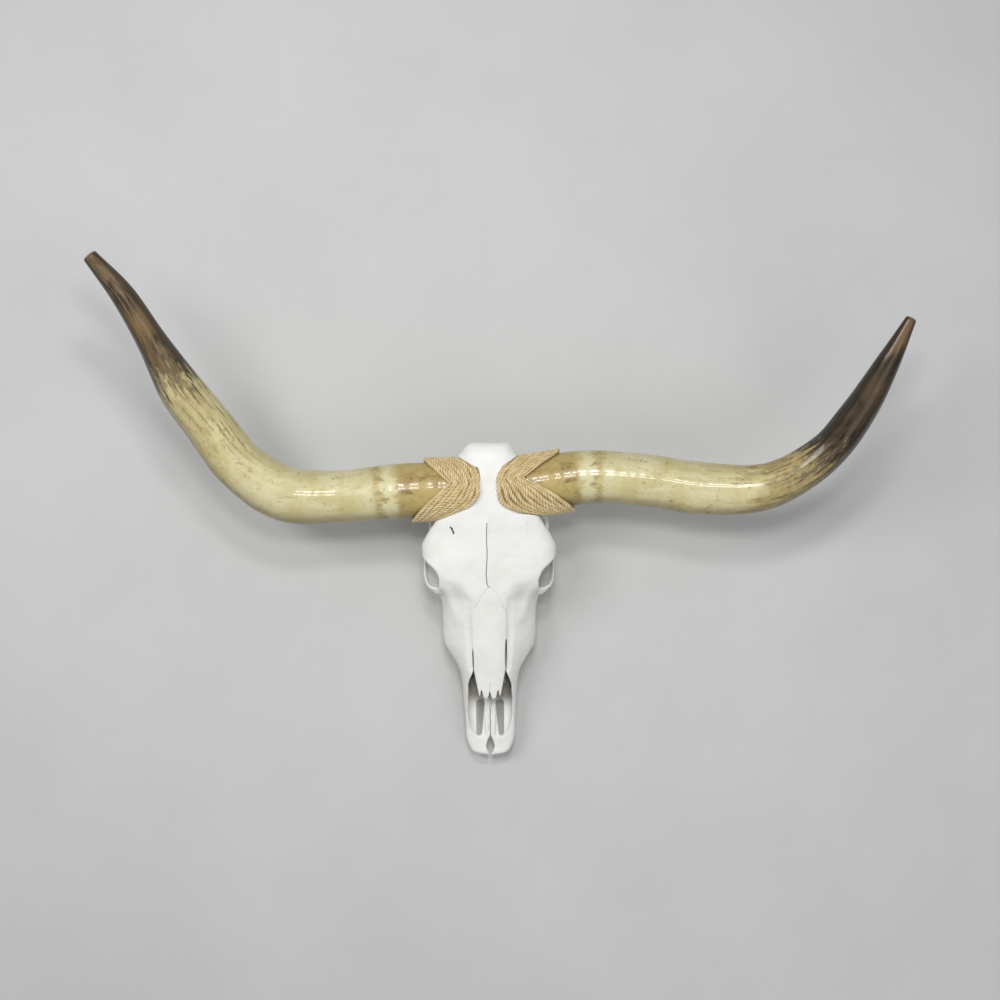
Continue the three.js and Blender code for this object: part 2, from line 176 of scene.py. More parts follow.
def joined(a, b, soft):
    """Distance from two forms together, with a fillet about as wide as soft."""
    share = np.clip(0.5 + 0.5 * (a - b) / soft, 0, 1)
    return a + (b - a) * share - soft * share * (1 - share)


def cut(a, b, soft):
    """Distance from form a where form b is taken away, with the new edge rounded."""
    return -joined(-a, b, soft)


# %% [markdown]
# Two simple forms do most of the work. An egg is an ellipsoid turned to any direction: it
# makes the sockets, the condyles and the braincase's bubbles. A bar follows a curve with an
# oval section of changing size: it makes the cheek arches and the processes. Both are
# functions that wait for coordinates, so the same form can be asked about any block.


# %% Eggs and bars
def oval(offset, axes, radii):
    """Rough distance from an ellipsoid that has its radii along the three axes."""
    scaled = [sum(float(axis[k]) * offset[k] for k in range(3)) / r for axis, r in zip(axes, radii)]
    reach = np.sqrt(sum(s * s for s in scaled))
    steep = np.sqrt(sum((s / r) ** 2 for s, r in zip(scaled, radii)))
    return reach * (reach - 1) / np.maximum(steep, 1e-6)


def egg(centre, radii, direction=(0, 0, 1)):
    """An ellipsoid whose third radius points in the direction."""
    turn = Vector((0, 0, 1)).rotation_difference(Vector(direction)).to_matrix()
    axes = [turn.col[k] for k in range(3)]
    return lambda spots: oval([s - c for s, c in zip(spots, centre)], axes, radii)


def bar(path, steps=18):
    """A curve through [x, y, z, half width across, half height], as an oval rod."""
    path = np.array(path, float)
    shares = np.linspace(0, 1, steps + 1)
    line = curve_through(path[:, :3], shares)
    sizes = curve_through(path[:, 3:], shares, even=True)

    def piece_of(spots, i):
        axis = line[i + 1] - line[i]
        long = float(axis @ axis)
        ahead = axis / math.sqrt(long)
        across = np.cross(ahead, UP)
        across = unit(across) if np.linalg.norm(across) > 0.2 else np.array([1.0, 0, 0])
        offset = [s - c for s, c in zip(spots, line[i])]
        t = np.clip(sum(a * o for a, o in zip(axis, offset)) / long, 0, 1)
        offset = [o - t * a for a, o in zip(axis, offset)]
        wide, tall = (sizes[i, k] + t * (sizes[i + 1, k] - sizes[i, k]) for k in (0, 1))
        return oval(offset, (across, np.cross(across, ahead), ahead), (wide, tall, np.minimum(wide, tall)))

    return lambda spots: np.minimum.reduce([piece_of(spots, i) for i in range(steps)])


# %% [markdown]
# The head's main mass is given as half sections from nose to poll. Each has the height of
# its top in the middle, five places round one side and the height of its underside. Between
# stations every value follows a smooth curve along y.

# %% Stations of the skull
STATIONS = np.array(
    [
        # y, crown, ridge x z, flank x z, side x z, lower x z, edge x z, base
        [-426, 35, 5, 35, 8, 33.5, 9.5, 31, 8, 28.5, 5, 27, 27],
        [-420, 37.5, 14, 37.5, 24, 35, 27, 31, 24, 27, 14, 25.5, 25.5],
        [-408, 39, 18, 39, 32, 37, 35.5, 31.5, 32, 26.5, 20, 25, 25],
        [-392, 42, 22, 43, 36.5, 41, 40.3, 33, 37, 26.5, 26, 25, 25.5],
        [-369, 54, 26, 54, 38, 49, 41.7, 38, 39.5, 28, 30, 26, 26.5],
        [-330, 88, 20, 84, 37, 64, 43, 48, 42.5, 32, 36, 27.5, 28],
        [-300, 98, 21, 93, 38, 76, 45, 54, 45, 36, 40, 29, 31],
        [-278, 105, 24, 99, 42, 82, 50, 56, 49, 40, 43, 22, 31],
        [-258, 111, 26, 105, 47, 86, 61, 58, 58, 40, 48, 18, 31],
        [-238, 117, 27.5, 110, 51, 92, 72.5, 62, 66, 40, 52, 17, 31],
        [-222, 121, 28, 114, 52, 97, 75.5, 66, 69, 42, 54, 17, 31],
        [-200, 128, 29, 121, 54, 104, 75.5, 72, 70, 44, 57, 17, 31],
        [-168, 137, 37, 131, 60, 117, 75.5, 80, 72, 49, 61, 18, 32],
        [-152, 142, 50, 137, 69, 123, 76.5, 88, 72, 55, 60, 22, 33],
        [-141, 145, 60, 140, 78, 127, 82, 94, 74, 62, 56, 34, 39],
        [-122, 150, 74, 145, 88, 132, 98, 100, 72, 74, 44, 52, 50],
        [-98, 157, 88, 148, 101, 134, 92, 104, 60, 78, 34, 60, 58],
        [-76, 162, 97, 146, 108, 128, 84, 106, 54, 78, 30, 60, 59],
        [-56, 167, 91, 150, 100, 137, 70, 108, 54, 78, 30, 58, 57],
        [-38, 171, 81, 159, 88, 147, 63, 112, 57, 80, 32, 56, 54],
        [0, 178, 66, 168, 70, 142, 66, 108, 64, 80, 38, 52, 48],
        [30, 182, 46, 176, 66, 144, 70, 108, 64, 80, 36, 58, 54],
        [55, 182, 29, 178, 59, 147, 56, 114, 44, 90, 24, 76, 74],
        [66, 181, 30, 176, 53, 150, 47, 121, 35, 101, 18, 91, 89],
        [77, 178, 30, 173, 43, 153, 36, 130, 25, 115, 12, 109, 107],
        [92, 167, 24, 164, 33, 156, 28, 146, 18, 138, 8, 135, 134],
    ]
)
NOSE_END = STATIONS[0, 0]


def along(y):
    """All the stations' values at each y."""
    at = STATIONS[:, 0]
    a = np.clip(np.searchsorted(at, y, side="right") - 1, 0, len(at) - 2)
    b = a + 1
    before = np.maximum(a - 1, 0)
    after = np.minimum(a + 2, len(at) - 1)
    span = (at[b] - at[a])[:, None]
    start, end = STATIONS[a], STATIONS[b]
    slope_start = (end - STATIONS[before]) / (at[b] - at[before])[:, None] * span
    slope_end = (STATIONS[after] - start) / (at[after] - at[a])[:, None] * span
    t = np.clip((y - at[a])[:, None] / span, 0, 1)
    return cubic(start, end, slope_start, slope_end, t)[:, 1:]


# %% [markdown]
# Each section is star-shaped round its middle, so it is kept as its reach in every
# direction. The field then only has to look up that reach and compare it with how far a
# place is from the middle. Dividing by the surface's slope turns that into a true distance.

# %% The main mass
TURN_STEPS = 360
OUTLINE_STEPS = 240
END_ROUND = 9.0


def reach_table(places_y):
    """The middle's height of each section, and its reach at even turns from top to bottom."""
    turns = np.linspace(0, np.pi, TURN_STEPS + 1)
    middles, table = [], []
    for row in along(np.clip(places_y, NOSE_END, POLL_END)):
        half = row[1:11].reshape(5, 2)
        loop = np.vstack([[0, row[0]], half, [0, row[11]], half[::-1] * [-1, 1]])
        outline = curve_through(loop, np.arange(OUTLINE_STEPS) / OUTLINE_STEPS, closed=True)
        middle = (row[0] + row[11]) / 2
        turn = np.arctan2(outline[:, 0], outline[:, 1] - middle)
        reach = np.hypot(outline[:, 0], outline[:, 1] - middle)
        order = np.argsort(turn)
        table.append(np.interp(turns, turn[order], reach[order], period=2 * np.pi))
        middles.append(middle)
    return np.array(middles), np.array(table)


def main_mass():
    xs, ys, zs = AXES
    middles, table = reach_table(ys)
    slope_round = np.gradient(table, np.pi / TURN_STEPS, axis=1) / table
    slope_along = np.gradient(table, VOXEL, axis=0)
    steep = 1 / np.sqrt(1 + slope_round**2 + slope_along**2)
    x = xs[:, None, None]
    rise = (zs[None, :] - middles[:, None])[None].astype(np.float32)
    turn = np.arctan2(x, rise) * (TURN_STEPS / np.pi)
    step = np.minimum(turn.astype(np.int32), TURN_STEPS - 1)
    part = turn - step
    row = np.arange(len(ys), dtype=np.int32)[None, :, None] * (TURN_STEPS + 1)

    def look_up(values):
        flat = values.ravel().astype(np.float32)
        return flat[row + step] * (1 - part) + flat[row + step + 1] * part

    distance = (np.hypot(x, rise) - look_up(table)) * look_up(steep)
    y = ys[None, :, None]
    return cut(distance, np.minimum(POLL_END - y, y - NOSE_END), END_ROUND)


body = main_mass()
print("main mass fills", round(float((body < 0).mean()) * 100, 1), "% of the half grid")

# %% [markdown]
# Onto the mass come the parts that stand away from it. Behind the eye a post drops from the
# brow to the cheek arch, which runs back to the hinge of the jaw. Below the back of the head
# are the two condyles that carried it on the neck, the long paracondylar processes that the
# skull now stands on, the ear bubbles and the thin pterygoid plates.

# %% Arches, knobs and processes
whole = body.copy()


def add(form, low, high, soft):
    """Joins a form to the skull inside a box that is a little larger than it."""
    part, spots = block(low, high)
    whole[part] = joined(whole[part], form(spots), soft)


def take(form, low, high, soft):
    """Cuts a form out of the skull in the same way."""
    part, spots = block(low, high)
    whole[part] = cut(whole[part], form(spots), soft)


CHEEK_ARCH = [
    [82, -146.5, 88, 8, 12],
    [93.5, -137, 87, 7.5, 12],
    [98.5, -112, 82, 5.5, 11],
    [100, -80, 80, 5, 11],
    [94.5, -54, 83, 4, 10],
    [92, -30, 84, 5, 8],
    [68, -4, 82, 11, 8],
]
EYE_POST = [[94, -68, 127, 6, 8], [101.5, -70, 106, 4, 7], [101, -80, 84, 5, 10]]
PARACONDYLE = [[52, 28, 92, 17, 13], [51, 28, 58, 13, 11], [48, 26, 28, 9, 8.5], [45, 24, 6, 6.5, 6.5]]
PTERYGOID = [[22, -140, 44, 5, 15], [23, -112, 44, 4, 16], [21, -84, 50, 4, 14], [18, -62, 56, 5, 9]]
BASILAR = [[0, -90, 62, 16, 9], [0, -40, 54, 14, 10], [0, 0, 50, 17, 10], [0, 36, 58, 20, 12]]
CHEEK_BASE = egg((82, -120, 76), (21, 34, 14), (-0.25, 0, 1))
CONDYLE = egg((22.5, 47, 66), (14.5, 19, 24), (0.5, 0.3, 1))
EAR_RIDGE = egg((60, -12, 76), (24, 10, 10), (1, 0, 0))
EAR_BUBBLE = egg((37, -6, 46), (10, 17, 16))

add(CHEEK_BASE, (45, -170, 48), (118, -70, 104), 7)
add(bar(CHEEK_ARCH), (40, -175, 58), (118, 20, 112), 6)
add(bar(EYE_POST), (80, -104, 66), (118, -50, 150), 6)
add(CONDYLE, (0, 15, 34), (56, 78, 100), 7)
add(bar(PARACONDYLE), (20, 0, -6), (84, 56, 120), 6)
add(EAR_RIDGE, (24, -34, 56), (96, 12, 98), 5)
add(EAR_BUBBLE, (18, -34, 20), (58, 22, 72), 4)
add(bar(PTERYGOID), (8, -166, 18), (40, -36, 76), 4)
add(bar(BASILAR), (0, -116, 34), (46, 62, 84), 6)
print("forms added; field low", round(float(whole.min()), 1))

# %% [markdown]
# Smaller swellings give the face its character: the ridge that runs from the cheek towards
# the teeth, the knobs where the neck muscles held, the rolled lip that borders each socket.
# The lip sits exactly where the socket's egg breaks through the surface, because it is a
# tube round all places that are near both at once.

# %% Ridges and the socket's lip
EYE_OUT = np.array([0.806, -0.383, 0.451])
EYE_CENTRE = np.array([90.5, -112.5, 113.0]) - 16 * EYE_OUT
EYE_RADII = (36.5, 36.5, 46)
LIP_RADIUS = 2.6
FACE_RIDGE = [[80, -142, 74, 5, 5], [72, -172, 63, 4, 4], [70, -206, 56, 4, 4], [65, -236, 52, 4, 4]]
NECK_KNOB = [[0, 83, 138, 8, 6], [14, 80, 132, 7, 6], [34, 66, 122, 5, 6], [50, 46, 112, 4, 5]]
NECK_PIT = egg((24, 91, 121), (12, 7, 30), (0.35, -0.25, 1))
MIDDLE_CREST = [[0, 83, 148, 3, 6], [0, 82, 126, 3, 6], [0, 73, 106, 2.5, 5]]

add(bar(FACE_RIDGE), (54, -256, 40), (104, -126, 90), 7)
add(bar(NECK_KNOB), (0, 30, 96), (70, 100, 160), 8)
take(NECK_PIT, (0, 60, 96), (52, 100, 152), 9)
add(bar(MIDDLE_CREST), (0, 56, 90), (14, 104, 164), 5)
part, spots = block((50, -165, 60), (118, -40, 165))
socket = egg(EYE_CENTRE, EYE_RADII, EYE_OUT)(spots)
lip = np.hypot(socket - 1.5, whole[part] + 0.5) - LIP_RADIUS
whole[part] = joined(cut(whole[part], socket, 2.0), lip, 3.5)
print("socket cut", int((socket < 0).sum()), "cells")

# %% [markdown]
# Then the hollows: the nasal cavity with its open front, the throat behind the palate, the
# hole for the spinal cord, the two long slots in the front of the palate. A box whose sides
# change along y, with rounded corners, makes each passage. A shallow valley runs down each
# side of the nasal bones.


# %% Hollows
def passage(rows, corner):
    """A tunnel along y with rows of [y, half width, floor, roof] and rounded corners."""
    ys, *sizes = np.array(rows, float).T

    def distance(spots):
        x, y, z = spots
        half, floor, roof = (np.interp(y, ys, size).astype(np.float32) for size in sizes)
        side = np.abs(x) - half + corner
        updown = np.abs(z - (floor + roof) / 2) - (roof - floor) / 2 + corner
        outside = np.hypot(np.maximum(side, 0), np.maximum(updown, 0))
        inner = np.minimum(np.maximum(side, updown), 0)
        return np.maximum(outside + inner - corner, np.maximum(ys[0] - y, y - ys[-1]))

    return distance


NASAL_VALLEY = [
    [36.5, -166, 141, 8, 8],
    [36.5, -185, 131.8, 8, 8],
    [36, -200, 125.4, 8, 8],
    [36, -222, 117.2, 8, 8],
    [35, -238, 113.2, 8, 8],
    [34, -258, 107, 8, 8],
    [32, -276, 101.6, 8, 8],
]
PALATE_BAR = [[5.4, -394, 37, 3.8, 4.5], [5.8, -362, 39, 4.0, 5], [6.4, -330, 41, 4.2, 5.5]]
NOSE_ROWS = [
    [-300, 30, 36, 80], [-284, 27, 38, 84], [-262, 26, 40, 91], [-240, 25, 42, 95],
    [-215, 20, 46, 95],
]
NOSE_FLOOR = [[-400, 37.5], [-369, 35], [-330, 34], [-300, 36], [-278, 38]]
NOSE_RIM = [[-400, 40], [-369, 50], [-330, 80], [-300, 92]]
NOSE_OPENING = [
    [-2, -277.5], [25, -277.5], [27.2, -281], [31.0, -290], [36.6, -303], [39.3, -326],
    [38.2, -350], [34.5, -373], [29.5, -387], [24, -394.5], [16, -397.5], [-2, -399],
]
FRONT_GAP = [[-434, -1], [-427, -0.6], [-423, 1.4], [-417, 4.8], [-410, 6.8], [-400, 4.6], [-390, -0.4]]
THROAT_ROWS = [[-142, 18, 38, 70], [-120, 20, 28, 74], [-95, 19, 20, 68], [-70, 15, 20, 58]]
CORD_HOLE = egg((0, 62, 82), (17, 15, 34), (0, 1, 0))
SLOT_Y = (-391, -331)

# %% [markdown]
# The nose opening and the palate's slots have outlines that no box can give. They are measured
# in plan, from a closed outline or from a width that changes along y.


# %% Openings by outline
def read_rows(y, rows):
    """The second number of the rows at each y."""
    return np.interp(y, *np.array(rows, float).T).astype(np.float32)


def outline_field(points, xs, ys):
    """Distance from an outline in plan, less than zero inside it."""
    px, py = np.meshgrid(xs, ys, indexing="ij")
    nearest = np.full(px.shape, np.inf)
    inside = np.zeros(px.shape, bool)
    for (ax, ay), (bx, by) in zip(points, points[1:] + points[:1]):
        dx, dy = bx - ax, by - ay
        t = np.clip(((px - ax) * dx + (py - ay) * dy) / (dx * dx + dy * dy), 0, 1)
        nearest = np.minimum(nearest, np.hypot(px - ax - t * dx, py - ay - t * dy))
        if ay != by:
            inside ^= ((ay > py) != (by > py)) & (px < dx * (py - ay) / dy + ax)
    return np.where(inside, -nearest, nearest).astype(np.float32)[:, :, None]


def nose_opening(spots):
    """The pear-shaped opening, whose walls lean in towards its floor."""
    x, y, z = spots
    plan = outline_field(NOSE_OPENING, x.ravel(), y.ravel())
    lean = 0.12 * np.clip(read_rows(y, NOSE_RIM) - z, 0, 40) * np.clip((-292 - y) / 20, 0, 1)
    return cut(plan + lean, z - read_rows(y, NOSE_FLOOR), 16.0)


def palate_slot(spots):
    """A slot that is wider and nearer to the middle at its back end."""
    x, y, _ = spots
    share = (y - SLOT_Y[0]) / (SLOT_Y[1] - SLOT_Y[0])
    middle = 18.4 - 2.6 * share
    half = 4.0 + 3.2 * share
    beyond = np.maximum(np.maximum(SLOT_Y[0] + half - y, y - SLOT_Y[1] + half), 0)
    return np.hypot(x - middle, beyond) - half


def front_gap(spots):
    """The drop-shaped gap between the two incisive bones' ends."""
    x, y, _ = spots
    return np.maximum(np.abs(x) - read_rows(y, FRONT_GAP), y + 388) * 0.85


take(bar(NASAL_VALLEY), (16, -290, 84), (56, -150, 156), 4)
take(passage(NOSE_ROWS, 9), (0, -310, 20), (60, -205, 140), 3)
take(nose_opening, (0, -412, 20), (60, -266, 192), 2)
take(passage(THROAT_ROWS, 6), (0, -150, 4), (40, -62, 96), 3)
take(CORD_HOLE, (0, 20, 60), (30, 100, 104), 3)
add(bar(PALATE_BAR), (0, -402, 26), (16, -318, 54), 1.2)
take(palate_slot, (6, -400, -6), (32, -322, 70), 1.6)
take(front_gap, (0, -434, -6), (14, -322, 70), 1.0)
print("hollows cut; solid share", round(float((whole < 0).mean()) * 100, 1), "%")

# %% [markdown]
# Inside the nose thin scrolls of bone hang from the side walls, and a wall stands in the
# middle of its floor. Nerves and vessels leave through small round holes: in front of the
# teeth, at the back of each socket and under the braincase. They are small, but a bare face
# without them looks like a toy. Last come two wide shallow hollows, in front of the eye and
# behind it.

# %% Scrolls and small holes
UPPER_SCROLL = [[21, -288, 74, 3.5, 6], [20, -266, 80, 5, 9], [16, -236, 84, 5, 8]]
LOWER_SCROLL = [[24, -300, 50, 3.5, 6], [23, -280, 54, 5, 8], [17, -246, 60, 5, 8]]
MIDDLE_WALL = [[0, -330, 42, 1.6, 7], [0, -290, 50, 1.6, 14], [0, -230, 58, 1.8, 18]]
SMALL_HOLES = [
    # place, radii, direction
    [(66, -262, 60), (4.5, 4.5, 15), (0.9, -0.45, 0.1)],
    [(83, -122, 92), (3.5, 3.5, 12), (0.2, -0.9, -0.3)],
    [(56, -92, 96), (6, 5, 14), (0.9, -0.3, -0.2)],
    [(52, -66, 84), (5, 5, 14), (0.9, -0.2, -0.3)],
    [(40, -34, 52), (4, 6, 12), (0.3, 0, -1)],
    [(24, 22, 50), (4, 4, 10), (0.3, 0.1, -1)],
    [(26, 12, 44), (3, 5, 10), (0.2, 0.1, -1)],
    [(72, -2, 92), (5, 5, 14), (1, 0.4, 0)],
    [(19, -176, 32), (3, 5, 10), (0, 0.1, -1)],
]
TEAR_HOLLOW = egg((56, -184, 150.5), (24, 44, 32))
TEMPLE_HOLLOW = egg((104, -21, 120), (34, 34, 20), (0.3, 0, 1))

add(bar(UPPER_SCROLL, 10), (8, -334, 64), (30, -216, 98), 2)
add(bar(LOWER_SCROLL, 10), (8, -340, 40), (34, -226, 76), 2)
add(bar(MIDDLE_WALL, 10), (0, -346, 30), (8, -206, 84), 2)
for place, radii, direction in SMALL_HOLES:
    reach = max(radii) + 3
    corners = [[p - reach for p in place], [p + reach for p in place]]
    take(egg(place, radii, direction), *corners, 1.5)
take(TEAR_HOLLOW, (25, -240, 100), (90, -130, 190), 14)
take(TEMPLE_HOLLOW, (50, -80, 80), (118, 30, 150), 8)
print("small holes", len(SMALL_HOLES), "on each side")

# %% [markdown]
# No skull is even. The half is mirrored, and then soft random lumps of a few sizes are added
# to the whole field, under a millimetre high. The random numbers come from a fixed seed, so
# the skull is the same each time.

# %% Both sides, and unevenness
chance = np.random.default_rng(41)
LOW = np.array([-AXES[0][-1], AXES[1][0], AXES[2][0]])
whole = np.concatenate([whole[::-1], whole])
body = np.concatenate([body[::-1], body])
FULL_X = np.concatenate([-AXES[0][::-1], AXES[0]])
AXES = [FULL_X, AXES[1], AXES[2]]


def lumps(size):
    """Soft random hills about size millimetres apart, from -1 to 1."""
    counts = [int(len(axis) * VOXEL / size) + 3 for axis in AXES]
    hills = chance.uniform(-1, 1, counts).astype(np.float32)
    for k, axis in enumerate(AXES):
        at = (axis - axis[0]) / size
        step = np.floor(at).astype(int)
        part = (at - step).astype(np.float32)
        part = part * part * (3 - 2 * part)
        shape = [1, 1, 1]
        shape[k] = len(part)
        part = part.reshape(shape)
        hills = np.take(hills, step, axis=k) * (1 - part) + np.take(hills, step + 1, axis=k) * part
    return hills


uneven = 0.55 * lumps(26.0) + 0.28 * lumps(9.0)
whole += uneven
body += uneven
print("unevenness up to", round(float(np.abs(uneven).max()), 2), "mm")

# %% [markdown]
# ## Horn curves
#
# The horns are needed now, because bone, horn and cord share one surface at the horn's base.
# A horn is its centre line with a radius at each point. The two are a natural odd pair: the
# right one turns up sooner and ends higher.

# %% Horn curves
HORNS = {
    # x, y and z of each point, and the radius there
    "right": [
        [-8, 19, 141, 43], [-60, 18, 141, 44], [-132, 15, 142, 45], [-249, 5, 146, 43],
        [-327, 10.5, 155, 45], [-396, 56.5, 172, 41.5], [-440, 116, 192, 39], [-482, 175, 218, 35.5],
        [-519, 244, 249, 25], [-559, 314, 278, 19.5], [-602, 368.5, 306, 12],
    ],
    "left": [
        [8, 20, 141, 43], [60, 24, 141, 43], [163, 37, 143, 43.5], [259, 30, 148, 42.3],
        [354, 17, 158, 42], [447, 23, 176, 37], [529, 74, 206, 31], [577, 141, 240, 27],
        [613, 212, 274, 18.5], [641, 273, 299, 9],
    ],
}
HORN_START = 60.0


class HornCurve:
    """Places on a horn. Turn 0 faces up, and a quarter turn faces the poll."""

    def __init__(self, name):
        self.rows = np.array(HORNS[name], float)
        self.side = np.sign(self.rows[-1, 0])
        self.dense = np.linspace(0, 1, 1200)
        self.centres = curve_through(self.rows[:, :3], self.dense)
        steps = np.linalg.norm(np.diff(self.centres, axis=0), axis=1)
        self.lengths = np.concatenate([[0], np.cumsum(steps)])

    def share_at_x(self, distance):
        half = len(self.dense) // 2
        return np.interp(distance, np.abs(self.centres[:half, 0]), self.dense[:half])

    def middle(self, shares):
        """The centre line's places and the horn's radii at the shares."""
        centre = curve_through(self.rows[:, :3], shares)
        return centre, curve_through(self.rows[:, 3:], shares, even=True)[:, 0]

    def place(self, share, turn, extra=0.0):
        """Places on the horn, moved out from its surface by the extra."""
        share, turn, extra = np.broadcast_arrays(share, turn, extra)
        flat = share.ravel()
        centre, radius = self.middle(flat)
        ends = self.middle(np.minimum(flat + 1e-4, 1))[0], self.middle(np.maximum(flat - 1e-4, 0))[0]
        ahead = unit(ends[0] - ends[1])
        across = unit(np.cross(UP, ahead))
        over = np.cross(ahead, across)
        reach = (radius + extra.ravel())[:, None]
        turn = turn.ravel()[:, None]
        spot = centre + reach * (over * np.cos(turn) + self.side * across * np.sin(turn))
        return spot.reshape(share.shape + (3,))


CURVES = {name: HornCurve(name) for name in HORNS}
for name, curve in CURVES.items():
    print(name, "horn", round(curve.lengths[-1]), "mm along its middle")

# %% [markdown]
# The binding starts close to the middle of the forehead on top and further out below, and
# its outer edge comes to a point on the upper face. Both edges are given on four sides of
# the horn and eased in between. The bone is cut back where the cord lies, so that the cord
# sits in it rather than on it.

# %% The room for horns and cord
WRAPS = {
    "right": {
        "inner": {"front": 14, "top": 48, "back": 70, "bottom": 91},
        "outer": {"front": 62.5, "top": 103, "back": 96, "bottom": 127},
        "depth": {"front": 5.5, "top": 7.0, "back": 7.0, "bottom": 6.5},
        "blunt": {"top": 5, "bottom": 3},
        "apex": 0.16,
    },
    "left": {
        "inner": {"front": 12.5, "top": 52, "back": 70, "bottom": 86},
        "outer": {"front": 56.5, "top": 121, "back": 98, "bottom": 133},
        "depth": {"front": 5.5, "top": 7.0, "back": 7.0, "bottom": 10.0},
        "blunt": {"top": 3, "bottom": 4.5},
        "apex": 0.27,
    },
}
CORD_GAP = 1.0
CORD_CLEAR = 0.7


def around(values, turn, blunt=None):
    """A value at a turn round the horn, from its values on four sides."""
    power = 1.0
    if blunt:
        power = np.where(np.sin(turn) > 0, blunt["top"], blunt["bottom"])
    weight = np.abs(np.sin(turn)) ** power
    near = np.where(np.sin(turn) > 0, values["top"], values["bottom"])
    face = np.where(np.cos(turn) > 0, values["front"], values["back"])
    return face * (1 - weight) + near * weight


def inner_edge(name, turn):
    return around(WRAPS[name]["inner"], turn, WRAPS[name]["blunt"])


def outer_edge(name, turn):
    lean = WRAPS[name]["apex"] * np.maximum(np.cos(turn), 0) ** 2
    return around(WRAPS[name]["outer"], turn - lean)


def cord_depth(name, turn):
    return around(WRAPS[name]["depth"], turn)


for name, curve in CURVES.items():
    low_x, high_x = sorted((8 * curve.side, 120 * curve.side))
    part, (x, y, z) = block((low_x, -50, 80), (high_x, 80, 192))
    centre, radius = curve.middle(curve.share_at_x(np.abs(x).ravel()))
    dy, dz = (s - centre[:, k].reshape(-1, 1, 1) for s, k in ((y, 1), (z, 2)))
    turn = np.arctan2(dy, dz)
    neck = np.hypot(dy, dz) - radius.reshape(-1, 1, 1)
    whole[part] = joined(whole[part], np.maximum(neck + 1.0, 12 - np.abs(x)), 4)
    depth = CORD_GAP + cord_depth(name, turn) + CORD_CLEAR
    begins = inner_edge(name, turn) - CORD_CLEAR - np.abs(x)
    cord_room = np.maximum(neck - depth, begins)
    keep = np.maximum(neck + 1.0, np.abs(x) - HORN_START + 1)
    whole[part] = np.minimum(cut(whole[part], cord_room, 0.8), np.maximum(keep, whole[part]))
print("room cut for the bindings")

# %% [markdown]
# ## Parting the bones
#
# A skull's bones meet at sutures. In a bleached skull most of them have closed so well that
# only a change of grain shows. So the six bones here are not cut apart with a saw's gap. Each
# cell of the grid is given to one bone, and the bones then share the same skin, as the
# pieces of a jigsaw share one picture.

# %% Which bone each cell belongs to
XS, YS, ZS = (axis.reshape(shape) for axis, shape in zip(AXES, ((-1, 1, 1), (1, -1, 1), (1, 1, -1))))
NASAL_THICK = 4.6
JAW_SUTURE = (-138.0, -160.0, 140.0)
INCISIVE_JOINT = (-334.0, 20.0)
INCISIVE_SLANT = math.radians(34.6)
NASAL_OUTLINE = [
    [-3, -138], [0.5, -138], [4.5, -143], [8.3, -149], [15.4, -160], [24, -175], [27.5, -187],
    [28, -200], [27.8, -222], [27.6, -250], [25.5, -278], [20.8, -304], [17.2, -321], [15.6, -319],
    [14.2, -309], [12.2, -313], [10.6, -322], [5.4, -327], [2.4, -321], [0.4, -313], [-3, -313],
]
SLITS = [
    # side, y of both ends, x at both ends, half width in the middle
    (1, (-283, -224), (26.6, 27.4), 1.7),
    (-1, (-284, -240), (26.2, 27.2), 1.15),
]

wave = 2.0 * np.sin(XS / 4.1 + 1.3 * np.sin(XS / 9.0)) + 1.2 * np.sin(ZS / 3.7 + XS / 11.0)
jaw_seam = YS - (JAW_SUTURE[0] + (JAW_SUTURE[1] - JAW_SUTURE[0]) * ZS / JAW_SUTURE[2] + wave)
front_wave = 1.3 * np.sin(ZS / 4.6 + 2.0 * np.sin(XS / 13.0))
run, rise = math.cos(INCISIVE_SLANT), math.sin(INCISIVE_SLANT)
front_seam = rise * (ZS - INCISIVE_JOINT[1]) - run * (YS - INCISIVE_JOINT[0]) + front_wave
half_plan = outline_field(NASAL_OUTLINE, AXES[0][AXES[0] > 0], AXES[1])
nasal_plan = np.concatenate([half_plan[::-1], half_plan])
roof = np.maximum(np.maximum(body, nasal_plan), -(body + NASAL_THICK))
whole = np.minimum(whole, roof)
for side, ends, across, half in SLITS:
    share = np.clip((YS - ends[0]) / (ends[1] - ends[0]), 0, 1)
    middle = side * (across[0] + (across[1] - across[0]) * share)
    width = half * np.sqrt(np.clip(4 * share * (1 - share), 0, 1))
    slit = np.maximum(np.abs(XS - middle) - width, 88 - ZS)
    whole = np.maximum(whole, -np.where((share > 0) & (share < 1), slit, 5.0))

BONES = ["cranium", "upper_jaw", "incisive_left", "incisive_right", "nasal_left", "nasal_right"]
owner = np.where(jaw_seam > 0, 1, 2).astype(np.int8)
owner = np.where(front_seam > 0, np.where(XS > 0, 3, 4).astype(np.int8), owner)
is_nasal = (nasal_plan < 0) & (body > -NASAL_THICK) & (ZS > 60)
owner = np.where(is_nasal, np.where(XS > 0, 5, 6).astype(np.int8), owner)
owner = np.where(whole < 0, owner, 0).astype(np.int8)
print("cells of each bone", dict(zip(["air"] + BONES, np.bincount(owner.ravel()).tolist())))

# %% [markdown]
# The skin is found cell by cell. A cell whose corners differ gets one vertex, in the mean of
# the places where its edges leave the bone, and cells that share such an edge are joined by a
# face. Where two bones touch inside, the same rule makes the wall between them. Blender's
# Remesh modifier works much the same way, but it knows nothing of owners.


